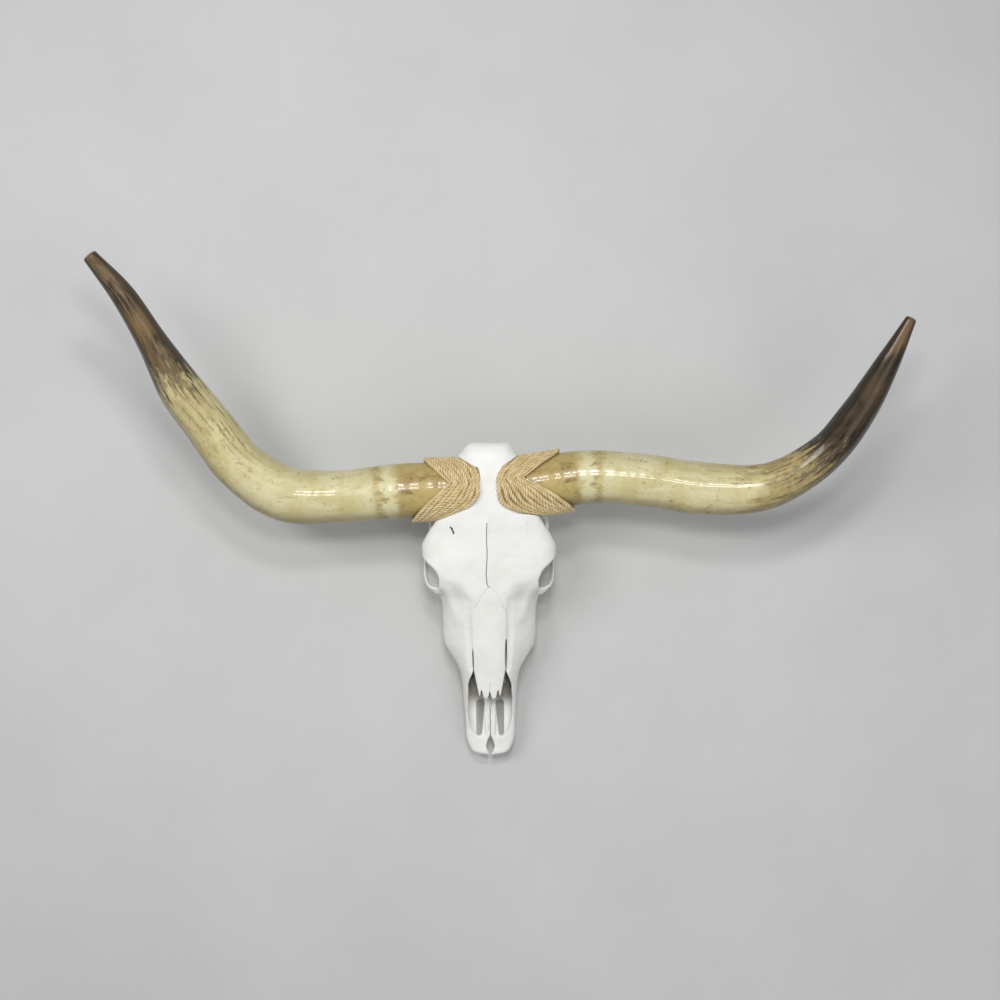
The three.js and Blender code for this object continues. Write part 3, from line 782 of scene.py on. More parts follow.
# %% From field to skin
def skin(field, owner, low, step):
    """Vertices, faces and the owners behind and ahead of each face. Owner 0 is air."""
    inner = tuple(n - 1 for n in field.shape)
    least = np.full(inner, 127, np.int8)
    most = np.zeros(inner, np.int8)
    for corner in np.ndindex(2, 2, 2):
        part = owner[tuple(slice(c, n + c) for c, n in zip(corner, inner))]
        least = np.minimum(least, part)
        most = np.maximum(most, part)
    cells = np.argwhere(least != most)
    outer = least[tuple(cells.T)] == 0
    number = np.full(inner, -1, np.int32)
    number[tuple(cells.T)] = np.arange(len(cells))
    total = np.zeros((len(cells), 3))
    count = np.zeros(len(cells))
    for k in range(3):
        along_k = np.eye(3, dtype=int)[k]
        for a, b in np.ndindex(2, 2):
            corner = np.insert(np.array([a, b]), k, 0)
            here, ahead = tuple((cells + corner).T), tuple((cells + corner + along_k).T)
            leaves = (owner[here] == 0) != (owner[ahead] == 0)
            changes = (owner[here] != owner[ahead]) & ~outer
            start, end = field[here], field[ahead]
            t = np.where(leaves, start / np.where(leaves, start - end, 1), 0.5)
            used = leaves | changes
            total += used[:, None] * (corner + along_k * np.clip(t, 0.02, 0.98)[:, None])
            count += used
    places = (cells + total / np.maximum(count, 1)[:, None]) * step + low
    faces, sides = [], []
    for k in range(3):
        a, b = ((k + 1) % 3, (k + 2) % 3)
        ahead = np.take(owner, range(1, field.shape[k]), axis=k)
        here = np.take(owner, range(field.shape[k] - 1), axis=k)
        edges = np.argwhere(ahead != here)
        fits = (edges[:, a] > 0) & (edges[:, b] > 0)
        fits &= (edges[:, a] < inner[a]) & (edges[:, b] < inner[b])
        edges = edges[fits]
        step_a, step_b = np.eye(3, dtype=int)[a], np.eye(3, dtype=int)[b]
        corners = [edges, edges - step_a, edges - step_a - step_b, edges - step_b]
        faces.append(np.stack([number[tuple(c.T)] for c in corners], axis=1))
        sides.append(np.stack([here[tuple(edges.T)], ahead[tuple(edges.T)]], axis=1))
    return places, outer, np.vstack(faces), np.vstack(sides)

# %% [markdown]
# Two helpers work on vertices. One moves them along the field's slope to where it is zero, so
# that they lie on the true surface and not just near it. The other draws each one towards the
# mean of its neighbours, which evens out their spacing.


# %% Reading the field
def read_field(field, places, low, step):
    """The field's value at any places, from the eight grid points round each."""
    at = (places - low) / step
    cell = np.clip(np.floor(at).astype(int), 0, np.array(field.shape) - 2)
    part = at - cell
    value = 0
    for corner in np.ndindex(2, 2, 2):
        weight = np.prod(np.where(corner, part, 1 - part), axis=1)
        value = value + weight * field[tuple((cell + corner).T)]
    return value


def slope_at(field, places, low, step, reach):
    """How much the field grows along each axis, from reach behind a place to reach ahead."""
    offsets = np.eye(3) * reach
    ahead, behind = ([read_field(field, places + k, low, step) for k in s] for s in (offsets, -offsets))
    return np.stack(ahead, axis=1) - np.stack(behind, axis=1)


def onto_zero(field, places, low, step, most=0.6):
    """Moves places along the field's slope to where it is zero."""
    slope = slope_at(field, places, low, step, step / 2) / step
    value = read_field(field, places, low, step)
    move = value[:, None] * slope / np.maximum((slope**2).sum(axis=1), 0.05)[:, None]
    return places - np.clip(move, -most * step, most * step)


def relaxed(places, faces, share=0.5):
    """Moves each place part of the way to the mean of its neighbours."""
    total = np.zeros_like(places)
    count = np.zeros(len(places))
    for here, there in ((0, 1), (1, 2), (2, 3), (3, 0), (1, 0), (2, 1), (3, 2), (0, 3)):
        for k in range(3):
            total[:, k] += np.bincount(faces[:, here], places[faces[:, there], k], len(places))
        count += np.bincount(faces[:, here], minlength=len(places))
    mean = total / np.maximum(count, 1)[:, None]
    return np.where(count[:, None] > 0, places + share * (mean - places), places)

# %% [markdown]
# Relaxing and moving back take turns. The vertices inside the walls between bones are only
# relaxed. The other helper here marks the biggest connected part of a mesh, because cutting
# can leave crumbs.


# %% The shared skin
def largest_body(count, faces):
    """Marks the vertices of the biggest connected part: cutting can leave crumbs."""
    label = np.arange(count)
    edges = np.vstack([faces[:, [0, 1]], faces[:, [1, 2]], faces[:, [2, 3]], faces[:, [3, 0]]])
    while True:
        lowest = np.minimum(label[edges[:, 0]], label[edges[:, 1]])
        new = label.copy()
        np.minimum.at(new, label[edges[:, 0]], lowest)
        np.minimum.at(new, label[edges[:, 1]], lowest)
        new = new[new]
        if (new == label).all():
            break
        label = new
    return label == np.bincount(label[faces[:, 0]]).argmax()


RELAX_ROUNDS = 3
walled = np.pad(whole, 1, constant_values=5.0)
places, outer, faces, sides = skin(walled, np.pad(owner, 1), LOW - VOXEL, VOXEL)
is_wall = sides.min(axis=1) > 0
for _ in range(RELAX_ROUNDS):
    on_skin = onto_zero(whole, relaxed(places, faces[~is_wall]), LOW, VOXEL)
    places = np.where(outer[:, None], on_skin, relaxed(places, faces[is_wall]))
places[:, 2] = np.maximum(places[:, 2], 0.0)
print("skin", len(places), "places", len(faces), "faces, of which", int(is_wall.sum()), "inside walls")

# %% [markdown]
# Hollows are greyed and edges are left clean, as painted shade. How hollow a place is can be
# measured: blur the solid, and look how full the neighbourhood of each vertex is. More than
# half full is a hollow, less is an edge. The material reads this as the number "hollow". How
# far a place lies inside the head's main mass is kept as "inside", for painted shade on deep
# places, most of all in the nose.


# %% How hollow each place is
def blurred(values, width):
    """The mean of each place's neighbours in a box, in one pass along each axis."""
    for k in range(3):
        pad = [(0, 0)] * 3
        pad[k] = (width + 1, width)
        total = np.cumsum(np.pad(values, pad, mode="edge"), axis=k, dtype=np.float64)
        ahead = np.take(total, range(2 * width + 1, total.shape[k]), axis=k)
        behind = np.take(total, range(0, total.shape[k] - 2 * width - 1), axis=k)
        values = ((ahead - behind) / (2 * width + 1)).astype(np.float32)
    return values


fullness = (whole < 0).astype(np.float32)
fullness = blurred(blurred(fullness, round(4 / VOXEL)), round(3 / VOXEL))
hollow = np.clip(read_field(fullness, places, LOW, VOXEL) * 2 - 1, -1, 1)
# The number "inside" feeds painted shade on deep places, most of all in the nose.
inside = np.clip(-read_field(body, places, LOW, VOXEL), 0, 60)
in_nose = (np.abs(places[:, 0]) < 36) & (places[:, 1] < -277)
below_rim = read_rows(places[:, 1], NOSE_RIM[1:]) - places[:, 2]
inside = np.maximum(inside, in_nose * 0.7 * below_rim)
inside *= np.clip((places[:, 1] + 350) / 45, 0, 1)

# %% [markdown]
# Each bone takes the faces that it owns. Where it meets its neighbour, it draws back by a few
# thousandths of a millimetre, and those inner walls are shaded flat. The outer skin's shading
# then runs on from bone to bone as if there were no joint.

# %% The six bones
WALL_GAP = 0.004
NOSE_LEAN = 2.0


def lean_at(y):
    """The snout of a real skull is seldom quite straight: this one leans to its left."""
    return NOSE_LEAN * np.clip((-140.0 - y) / 260.0, 0, 1)


def leaned(places):
    return places + np.outer(lean_at(places[:, 1]), [1, 0, 0])


def bone_piece(name, number):
    ahead, behind = sides[:, 0] == number, sides[:, 1] == number
    quads = np.vstack([faces[ahead], faces[behind][:, ::-1]])
    wall = np.concatenate([is_wall[ahead], is_wall[behind]])
    kept = largest_body(len(places), quads)
    wall = wall[kept[quads[:, 0]]]
    quads = quads[kept[quads[:, 0]]]
    used = np.unique(quads)
    index = np.full(len(places), -1)
    index[used] = np.arange(len(used))
    quads = index[quads]
    own = places[used].copy()
    corners = own[quads[wall]]
    out = unit(np.cross(corners[:, 2] - corners[:, 0], corners[:, 3] - corners[:, 1]))
    push = np.zeros_like(own)
    for k in range(4):
        np.add.at(push, quads[wall][:, k], out)
    own -= WALL_GAP * unit(push) * (np.linalg.norm(push, axis=1, keepdims=True) > 0)
    numbers = {"hollow": hollow[used], "inside": inside[used], "line": np.zeros(len(used))}
    piece = make_piece(name + "_bone", leaned(own), quads, [name], numbers)
    piece.data.polygons.foreach_set("use_smooth", ~wall)
    return piece


bones = {name: bone_piece(name, i + 1) for i, name in enumerate(BONES)}

# %% [markdown]
# ## Cheek teeth
#
# Each side has three premolars with one lobe and three molars with two. They are worn flat,
# and the wear shows crescents of hard enamel. A finer grid than the skull's gives room for
# that. Each lobe is an upright oval column with a rib on its outer side, and a crescent
# groove is sunk into its worn face.

# %% Cheek teeth
TEETH = [(15, 15, 1), (16, 17, 1), (17, 19, 1), (25, 21, 2), (28, 22, 2), (29, 20, 2)]
ROW_START = -279.0
ROW_X = (41.0, 57.0)
TOOTH_STEP = 0.65
ROOT_TOP = 36.0
SQUARENESS = 2.6
CRESCENTS = (-0.30, 0.34)


def tooth_row(side):
    low = np.array([28.0, ROW_START - 4, -2.0])
    high = np.array([72.0, ROW_START + sum(t[0] for t in TEETH) + 4, ROOT_TOP + 2])
    axes = [np.arange(a, b, TOOTH_STEP, dtype=np.float32) for a, b in zip(low, high)]
    x, y, z = np.meshgrid(*axes, indexing="ij", sparse=True)
    field = np.full([len(axis) for axis in axes], 9.0, np.float32)
    start = ROW_START
    for i, (length, width, lobes) in enumerate(TEETH):
        middle = ROW_X[0] + (ROW_X[1] - ROW_X[0]) * i / (len(TEETH) - 1)
        flare = 1 + 0.004 * (z - 8)
        tooth = None
        for lobe in range(lobes):
            centre = start + length * (lobe + 0.5) / lobes
            half_long, half_wide = length / lobes / 2 * 1.02, width / 2
            bulge = 1.1 * np.cos((y - centre) / half_long * np.pi) * (x > middle)
            offset = [(x - middle) / (half_wide * flare), (y - centre) / (half_long * flare)]
            reach = sum(np.abs(o) ** SQUARENESS for o in offset) ** (1 / SQUARENESS)
            column = (reach - 1) * min(half_long, half_wide) - 0.45 * bulge
            wear = 0.9 + 0.7 * np.cos((y - centre) / half_long * np.pi) + 0.5 * np.sin(x / 3.0 + i)
            column = np.maximum(column, wear * 0.8 - z)
            bow = (x - middle) - 0.16 * (y - centre) ** 2 / half_long
            for shift in CRESCENTS:
                beyond = np.maximum(np.abs(y - centre) - half_long * 0.5, 0)
                groove = np.maximum(np.hypot(bow - shift * width, beyond) - 1.0, z - 3.2 - wear)
                column = np.maximum(column, -groove)
            tooth = column if tooth is None else joined(tooth, column, 1.2)
        field = np.minimum(field, np.maximum(tooth, z - ROOT_TOP))
        start += length
    padded = np.pad(field, 1, constant_values=5.0)
    corner = low - TOOTH_STEP
    places, _, faces, sides = skin(padded, (padded < 0).astype(np.int8), corner, TOOTH_STEP)
    faces = np.where(sides[:, :1] > 0, faces, faces[:, ::-1])
    for _ in range(2):
        places = onto_zero(padded, relaxed(places, faces), corner, TOOTH_STEP)
    places[:, 2] = np.maximum(places[:, 2], 0.0)
    full = blurred((field < 0).astype(np.float32), 3)
    hollow = np.clip(read_field(full, places, low, TOOTH_STEP) * 2 - 1, -1, 1)
    if side < 0:
        places = places * [-1, 1, 1]
        faces = faces[:, ::-1]
    name = "cheek_teeth_" + ("left" if side > 0 else "right")
    return make_piece(name, leaned(places), faces, (), {"hollow": hollow})


teeth = [tooth_row(side) for side in (1, -1)]

# %% [markdown]
# ## Sutures and cracks on the surface
#
# The open joint down the middle of the forehead, the small slots above the eyes and the
# fainter sutures are finer than the grid. So the faces near each line are divided, and the
# new vertices are pressed in. The same distance is stored as the number "line", from which
# the material darkens the bottom of the groove.

# %% Lines on the bone
MAIN_CRACK = [
    (-3.0, -38, 173), (-3.4, -62, 168), (-2.6, -84, 161), (-2.8, -95, 159),
    (-3.8, -112, 153), (-3.4, -130, 149), (-1.2, -141, 146),
]
RIGHT_SUTURE = [
    (-0.6, -140, 146), (-4, -144.5, 145), (-7.3, -149, 144), (-13.3, -158, 140),
    (-23.3, -174, 132),
]
LEFT_SUTURE = [
    (0.8, -139, 146), (5, -141, 145), (9.3, -144.5, 145), (17.5, -159.5, 138),
    (24.6, -175.5, 130),
]
LINES = [
    # places, width, depth, darkness
    (MAIN_CRACK, 1.15, 2.6, 0.66),
    ([(0.4, -28, 176), (0.9, -48, 172), (-0.4, -68, 166)], 0.8, 0.7, 0.3),
    ([(-58.4, -41, 160), (-56.6, -46, 159), (-55.0, -52, 158)], 2.2, 3.4, 1.0),
    ([(60.4, -33, 160), (60.8, -39, 160)], 1.3, 1.0, 0.3),
    ([(60.9, -47, 159), (60.9, -52, 158)], 1.3, 1.0, 0.3),
    ([(2.6, 12.6, 181), (7.2, 12.8, 181)], 1.4, 0.8, 0.3),
    (RIGHT_SUTURE, 0.9, 0.6, 0.3),
    (LEFT_SUTURE, 0.9, 0.6, 0.34),
    ([(27.4, -177, 126), (29, -183, 124), (30.5, -190, 122)], 1.2, 1.2, 0.4),
    ([(1.3, -300, 96), (1.5, -310, 94), (1.6, -318, 92)], 0.9, 1.2, 0.5),
    ([(1.4, -334, 46), (1.7, -362, 42), (1.9, -389, 38)], 1.7, 0.5, 0.85),
    ([(2.1, -426, 36), (2.2, -430, 32)], 1.0, 1.8, 0.7),
    ([(-66, -268, 84), (-52, -262, 90), (-40, -246, 100), (-30, -226, 110)], 0.8, 0.4, 0.14),
]
for side in (1, -1):
    LINES.append(([(side * 84, -146, 98), (side * 80, -160, 84), (side * 79, -176, 70)], 0.9, 0.5, 0.16))
for side in (1, -1):
    LINES.append(([(side * 92, -52, 84), (side * 95, -47, 84), (side * 92, -42, 84)], 0.8, 0.7, 0.3))

# %% [markdown]
# Each row above holds a few points near the surface. A curve through them gets a slight
# wander, and its places are moved onto the bone in the way the skin's vertices were.


# %% Laying the lines down
def line_on_bone(points):
    """A fine line through the points, laid on the skull's surface, with a slight wander."""
    count = max(12, int(np.linalg.norm(np.diff(points, axis=0), axis=1).sum() / 1.5))
    line = curve_through(points, np.linspace(0, 1, count))
    wander = np.stack([np.sin(np.arange(count) * k + 3 * k) for k in (0.55, 0.9)], axis=1)
    line[:, :2] += 0.25 * min(1.0, count / 40) * wander
    line[:, 0] -= lean_at(line[:, 1])
    for _ in range(6):
        line = onto_zero(whole, line, LOW, VOXEL, 2.0)
    line[:, 0] += lean_at(line[:, 1])
    return line


def distance_to(line, places):
    nearest = np.full(len(places), np.inf)
    for a, b in zip(line[:-1], line[1:]):
        axis = b - a
        t = np.clip((places - a) @ axis / max(axis @ axis, 1e-9), 0, 1)
        nearest = np.minimum(nearest, np.linalg.norm(places - a - t[:, None] * axis, axis=1))
    return nearest


lines = [(line_on_bone(np.array(points, float)), *rest) for points, *rest in LINES]

# %% [markdown]
# BMesh lets a script edit a mesh vertex by vertex. The faces near a line are divided twice,
# and each vertex within the line's reach is then moved inwards along its normal.


# %% Engraving
def near_line(line, places, margin):
    """The numbers of the places that are inside the line's box, with a margin."""
    return np.nonzero(np.all((places > line.min(0) - margin) & (places < line.max(0) + margin), axis=1))[0]


def engrave(piece):
    """Divides the faces near each line and presses the new vertices in."""
    build = bmesh.new()
    build.from_mesh(piece.data)
    mark = build.verts.layers.float["line"]
    for fine in (1, 2):
        build.verts.ensure_lookup_table()
        places = in_millimetres([v.co[:] for v in build.verts])
        close = np.zeros(len(places), bool)
        for line, width, _, _ in lines:
            spots = near_line(line, places, 5)
            close[spots] |= distance_to(line, places[spots]) < width + 2.2 / fine
        edges = {e for i in np.nonzero(close)[0] for f in build.verts[i].link_faces for e in f.edges}
        if edges:
            bmesh.ops.subdivide_edges(build, edges=list(edges), cuts=1, use_grid_fill=True)
    build.normal_update()
    build.verts.ensure_lookup_table()
    places = in_millimetres([v.co[:] for v in build.verts])
    for line, width, depth, dark in lines:
        spots = near_line(line, places, 4)
        for i, d in zip(spots, distance_to(line, places[spots])):
            if d < width * 1.6:
                vert = build.verts[i]
                vert.co -= vert.normal * float(depth * MM * math.exp(-((d / (0.55 * width)) ** 2)))
                vert[mark] = max(vert[mark], dark * math.exp(-((d / (0.6 * width)) ** 2)))
    build.to_mesh(piece.data)
    build.free()
    print(piece.name, "engraved,", len(piece.data.vertices), "places")

# %% [markdown]
# Where two bones meet, each one's edge would be shaded for itself, and the seam would show as
# a crease. So the vertices along a seam take their normals from the field, which both share.


# %% Shading across the seams
def read_all(items, key, kind, width=1):
    """One value of every vertex, corner or face of a mesh, as an array."""
    values = np.zeros(len(items) * width, kind)
    items.foreach_get(key, values)
    return values if width == 1 else values.reshape(-1, width)


def share_normals(piece):
    """Where bones meet, both sides of the seam take the field's own normal."""
    mesh = piece.data
    corner_of = read_all(mesh.loops, "vertex_index", int)
    smooth = read_all(mesh.polygons, "use_smooth", bool)
    smooth = np.repeat(smooth, read_all(mesh.polygons, "loop_total", int))
    seam = np.zeros(len(mesh.vertices), bool)
    seam[corner_of[~smooth]] = True
    used = smooth & seam[corner_of]
    spots = in_millimetres(read_all(mesh.vertices, "co", float, 3)[corner_of[used]])
    spots[:, 0] -= lean_at(spots[:, 1])
    normals = np.zeros((len(corner_of), 3))
    normals[used] = unit(slope_at(whole, spots, LOW, VOXEL, VOXEL))
    mesh.normals_split_custom_set(normals.tolist())


for key in BONES:
    engrave(bones[key])
    share_normals(bones[key])

# %% [markdown]
# ## Horns
#
# A horn is a sheath of keratin, grown in cones one inside the other. It is never a perfect
# cone: shallow flutes run along it, faint rings go round it near the base, and the tip is
# worn blunt. A fine loft along the curve, moved out and in by those three patterns, has all
# of it as real shape. Each vertex also stores its place in the grain, which is its offset
# from the middle line and its length along the horn, so that streaks can follow the growth.

# %% Horn sheaths
HORN_SIDES = 96
HORN_RINGS = 340
TIP_RINGS = 9
TIP_LENGTH = 4.0
TIP_BLUNT = 0.5
SLIM = 0.25
# How many flutes of one kind go round the horn, and their depth.
FLUTES = ((2, 0.45), (3, 0.3), (5, 0.2), (9, 0.14), (14, 0.1))


def grid_faces(rows, sides, closed=True):
    """Quads between rings of vertices. A closed grid joins its last ring to its first."""
    index = np.arange(rows * sides).reshape(rows, sides)
    after = np.roll(index, -1, axis=1)
    quads = np.stack([index, after, np.roll(after, -1, axis=0), np.roll(index, -1, axis=0)], axis=-1)
    return (quads if closed else quads[:-1]).reshape(-1, 4)


def straightened(radius, turn, along):
    """Places round a straight axis, for a pattern that follows a bent one."""
    parts = np.broadcast_arrays(radius * np.cos(turn), radius * np.sin(turn), along)
    return np.stack(parts, axis=-1).reshape(-1, 3)


def horn_piece(name):
    curve = CURVES[name]
    start = float(curve.share_at_x(HORN_START))
    start_length = np.interp(start, curve.dense, curve.lengths)
    lengths = np.linspace(start_length, curve.lengths[-1], HORN_RINGS)
    shares = np.interp(lengths, curve.lengths, curve.dense)
    turns = np.linspace(0, 2 * np.pi, HORN_SIDES, endpoint=False)
    s = (lengths - start_length)[:, None]
    part = s / s[-1]
    phase = 0.0 if name == "right" else 2.1
    rings = 0.20 * np.sin(s / 3.0 + 1.5 * np.sin(s / 17 + phase)) * np.exp(-s / 150)
    rings = rings + 0.5 * np.sin(s / 15 + phase + np.sin(s / 41)) * np.exp(-s / 420)
    flutes = 0
    for k, size in FLUTES:
        flutes = flutes + size * np.cos(k * turns + k * phase + 0.8 * np.sin(s / (60 + 9 * k) + k))
    fade = np.clip((1 - part) * 6, 0.25, 1)
    extra = (rings + flutes * np.clip(part * 3, 0.3, 1)) * fade - SLIM - 0.4 * fade
    grid = curve.place(shares[:, None], turns[None, :], extra)
    centre, _ = curve.middle(shares)
    tip, ahead = grid[-1], unit(centre[-1] - centre[-2])
    caps = []
    for bend in np.arange(1, TIP_RINGS + 1) / TIP_RINGS * np.pi / 2:
        shrink = max(np.cos(bend), 0.001) ** TIP_BLUNT
        caps.append(centre[-1] + (tip - centre[-1]) * shrink + ahead * TIP_LENGTH * np.sin(bend))
    places = np.vstack([grid.reshape(-1, 3), *caps, centre[:1], centre[-1:] + ahead * TIP_LENGTH])
    rows = HORN_RINGS + TIP_RINGS
    faces = grid_faces(rows, HORN_SIDES, closed=False).tolist()
    root = rows * HORN_SIDES
    last = root - HORN_SIDES
    ring = [(j, (j + 1) % HORN_SIDES) for j in range(HORN_SIDES)]
    faces += [[root, k, j] for j, k in ring]
    faces += [[root + 1, last + j, last + k] for j, k in ring]
    if curve.side > 0:
        faces = [face[::-1] for face in faces]
    long = np.append(s, s[-1] + TIP_LENGTH * np.arange(1, TIP_RINGS + 1) / TIP_RINGS)
    radius = np.interp(long, s[:, 0], np.linalg.norm(grid[:, 0] - centre, axis=1))
    grain = np.vstack([straightened(radius[:, None], turns, long[:, None]), [0, 0, 0], [0, 0, long[-1]]])
    side = np.append(np.tile(np.sin(turns), rows), [0, 0])
    numbers = {"grain": grain, "side": side}
    return make_piece("horn_sheath_" + name, places, faces, ["horn_" + name], numbers)


horns = {name: horn_piece(name) for name in HORNS}

# %% [markdown]
# ## The bindings
#
# Each binding is turns of twisted cord laid side by side, over a thin wound layer whose dark
# colour is painted shade in the gaps. A turn is not a plain ring: its distance from the forehead
# changes round the horn, so that the turns nest into the point on the upper face. Three plies
# are laid up into each cord, and the section's three lobes, turning as they go along, are those plies.

# %% Cord turns
STRANDS = 9
CORD_RADIUS = 3.6
PLY_PITCH = 19.0
PLY_DEPTH = 0.27
CORD_EASE = 9
STRAND_STEPS = 560
STRAND_SIDES = 24


def ply_shape(around_it, twisted):
    """The section of three plies laid together, as a share of the cord's radius."""
    lobe = np.abs(np.cos(1.5 * (around_it - twisted)))
    return 1 - PLY_DEPTH + PLY_DEPTH * lobe**0.7


def cord_distance(name, row, turn):
    """How far out a turn lies, at a share of the way between the binding's edges."""
    distance = inner_edge(name, turn) * (1 - row) + outer_edge(name, turn) * row
    ring = np.concatenate([distance[-CORD_EASE:], distance, distance[:CORD_EASE]])
    return np.convolve(ring, np.ones(CORD_EASE) / CORD_EASE, mode="same")[CORD_EASE:-CORD_EASE]


def ahead_of(ring):
    """The direction of a closed line at each of its places."""
    return unit(np.roll(ring, -1, axis=0) - np.roll(ring, 1, axis=0))


def cord_turn(name, number):
    """One turn of cord. Where turns crowd, they get thinner and take turns to lie on top."""
    curve = CURVES[name]
    turn = np.linspace(0, 2 * np.pi, STRAND_STEPS, endpoint=False)
    depth = cord_depth(name, turn)
    distances = [cord_distance(name, (number + k) / STRANDS, turn) for k in (0, 0.5, 1)]
    lines = [curve.place(curve.share_at_x(d), turn, depth - 2) for d in distances]
    ahead = ahead_of(lines[1])
    between = lines[2] - lines[0]
    between = between - (between * ahead).sum(axis=1, keepdims=True) * ahead
    room = np.linalg.norm(between, axis=1)
    radius = np.clip(room * 0.56, CORD_RADIUS * 0.5, CORD_RADIUS)
    radius = radius * (1.08 if number == 0 else 1 + 0.05 * math.sin(number * 5.1 + 1))
    crowded = np.clip(1 - room / (2.1 * radius), 0, 0.5) * (1 if number % 2 else -1)
    sway = 0.55 * np.sin(turn * 5 + number * 2.3) + 0.35 * np.sin(turn * 13 + number * 4.1)
    lift = CORD_GAP + depth - radius + 0.25 * np.sin(turn * 7 + number * 1.9) - 0.25 + 2.2 * crowded
    share = curve.share_at_x(distances[1] + sway)
    centre = curve.place(share, turn, lift)
    outward = unit(curve.place(share, turn, lift + 1.0) - centre)
    ahead = ahead_of(centre)
    across = unit(np.cross(ahead, outward))
    outward = np.cross(across, ahead)
    steps = np.linalg.norm(np.roll(centre, -1, axis=0) - centre, axis=1)
    gone = np.concatenate([[0], np.cumsum(steps)[:-1]])[:, None]
    length = steps.sum()
    twisted = 2 * np.pi * round(length / PLY_PITCH) * gone / length
    around_it = np.linspace(0, 2 * np.pi, STRAND_SIDES, endpoint=False)
    share_out = ply_shape(around_it, twisted)
    cos, sin = (f(around_it)[None, :, None] for f in (np.cos, np.sin))
    flat = (radius[:, None] * share_out)[..., None] * (outward[:, None] * cos + across[:, None] * sin)
    places = (centre[:, None] + flat).reshape(-1, 3)
    lay = straightened(CORD_RADIUS, around_it - twisted, gone + number * 400.0)
    deep = np.clip((1 - share_out) / PLY_DEPTH, 0, 1).ravel()
    return places, outward_facing(places, grid_faces(STRAND_STEPS, STRAND_SIDES)), lay, deep, length

# %% [markdown]
# A binding is all its turns in one mesh. Which way the faces of a closed surface look can be
# told from the volume they enclose: below zero, all of them are turned round.


# %% The bindings
def outward_facing(places, faces):
    """Turns all faces round if the closed surface they make has a volume below zero."""
    a, b, c, d = (places[faces[:, k]] - places.mean(axis=0) for k in range(4))
    volume = (a * (np.cross(b, c) + np.cross(c, d))).sum()
    return faces if volume > 0 else faces[:, ::-1]


def binding(name):
    turns = [cord_turn(name, number) for number in range(STRANDS)]
    places, faces, lay, deep, lengths = zip(*turns)
    faces = [turn_faces + i * len(places[0]) for i, turn_faces in enumerate(faces)]
    places, faces, lay, deep = (np.concatenate(stack) for stack in (places, faces, lay, deep))
    print(name, "binding holds", round(sum(lengths) / 1000, 2), "m of cord")
    numbers = {"lay": lay, "deep": deep}
    return make_piece("cord_binding_" + name, places, faces, ["wrap_" + name], numbers)


bindings = {name: binding(name) for name in HORNS}

# %% [markdown]
# Under the turns lies the wound core: a closed ring that follows the same two edges a little
# further in. It keeps light from passing between the turns and carries the cord out to where
# it belongs on the underside, where the binding is thickest. Its dark colour is painted shade
# for the gaps between the turns.

# %% The layer under the cord
CORE_SIDES = 144
CORE_ROWS = 40
CORE_INSET = 1.6


def binding_core(name):
    curve = CURVES[name]
    turn = np.linspace(0, 2 * np.pi, CORE_SIDES, endpoint=False)
    depth = cord_depth(name, turn)
    near = inner_edge(name, turn) + CORE_INSET
    far = outer_edge(name, turn) - CORE_INSET
    rings = []
    for row in np.linspace(0, 1, CORE_ROWS + 1):
        swell = min(1.0, min(row, 1 - row) * 16) ** 0.5
        rings.append((row, 0.55 + (depth - 3.6) * swell + 0.25 * math.sin(row * STRANDS * 2 * math.pi)))
    rings += [(1.0, 0.35), (0.0, 0.35)]
    places = [curve.place(curve.share_at_x(near + (far - near) * row), turn, lift) for row, lift in rings]
    places = np.concatenate(places)
    faces = outward_facing(places, grid_faces(len(rings), CORE_SIDES))
    return make_piece("binding_core_" + name, places, faces)


cores = {name: binding_core(name) for name in HORNS}

# %% [markdown]
# ## Finishes
#
# Every finish is built from nodes, so that it has detail at any distance and needs no
# pictures. A small class keeps that readable: each of its calls adds one kind of node and
# returns its output, and what a call is given may be a plain value or another node's output.


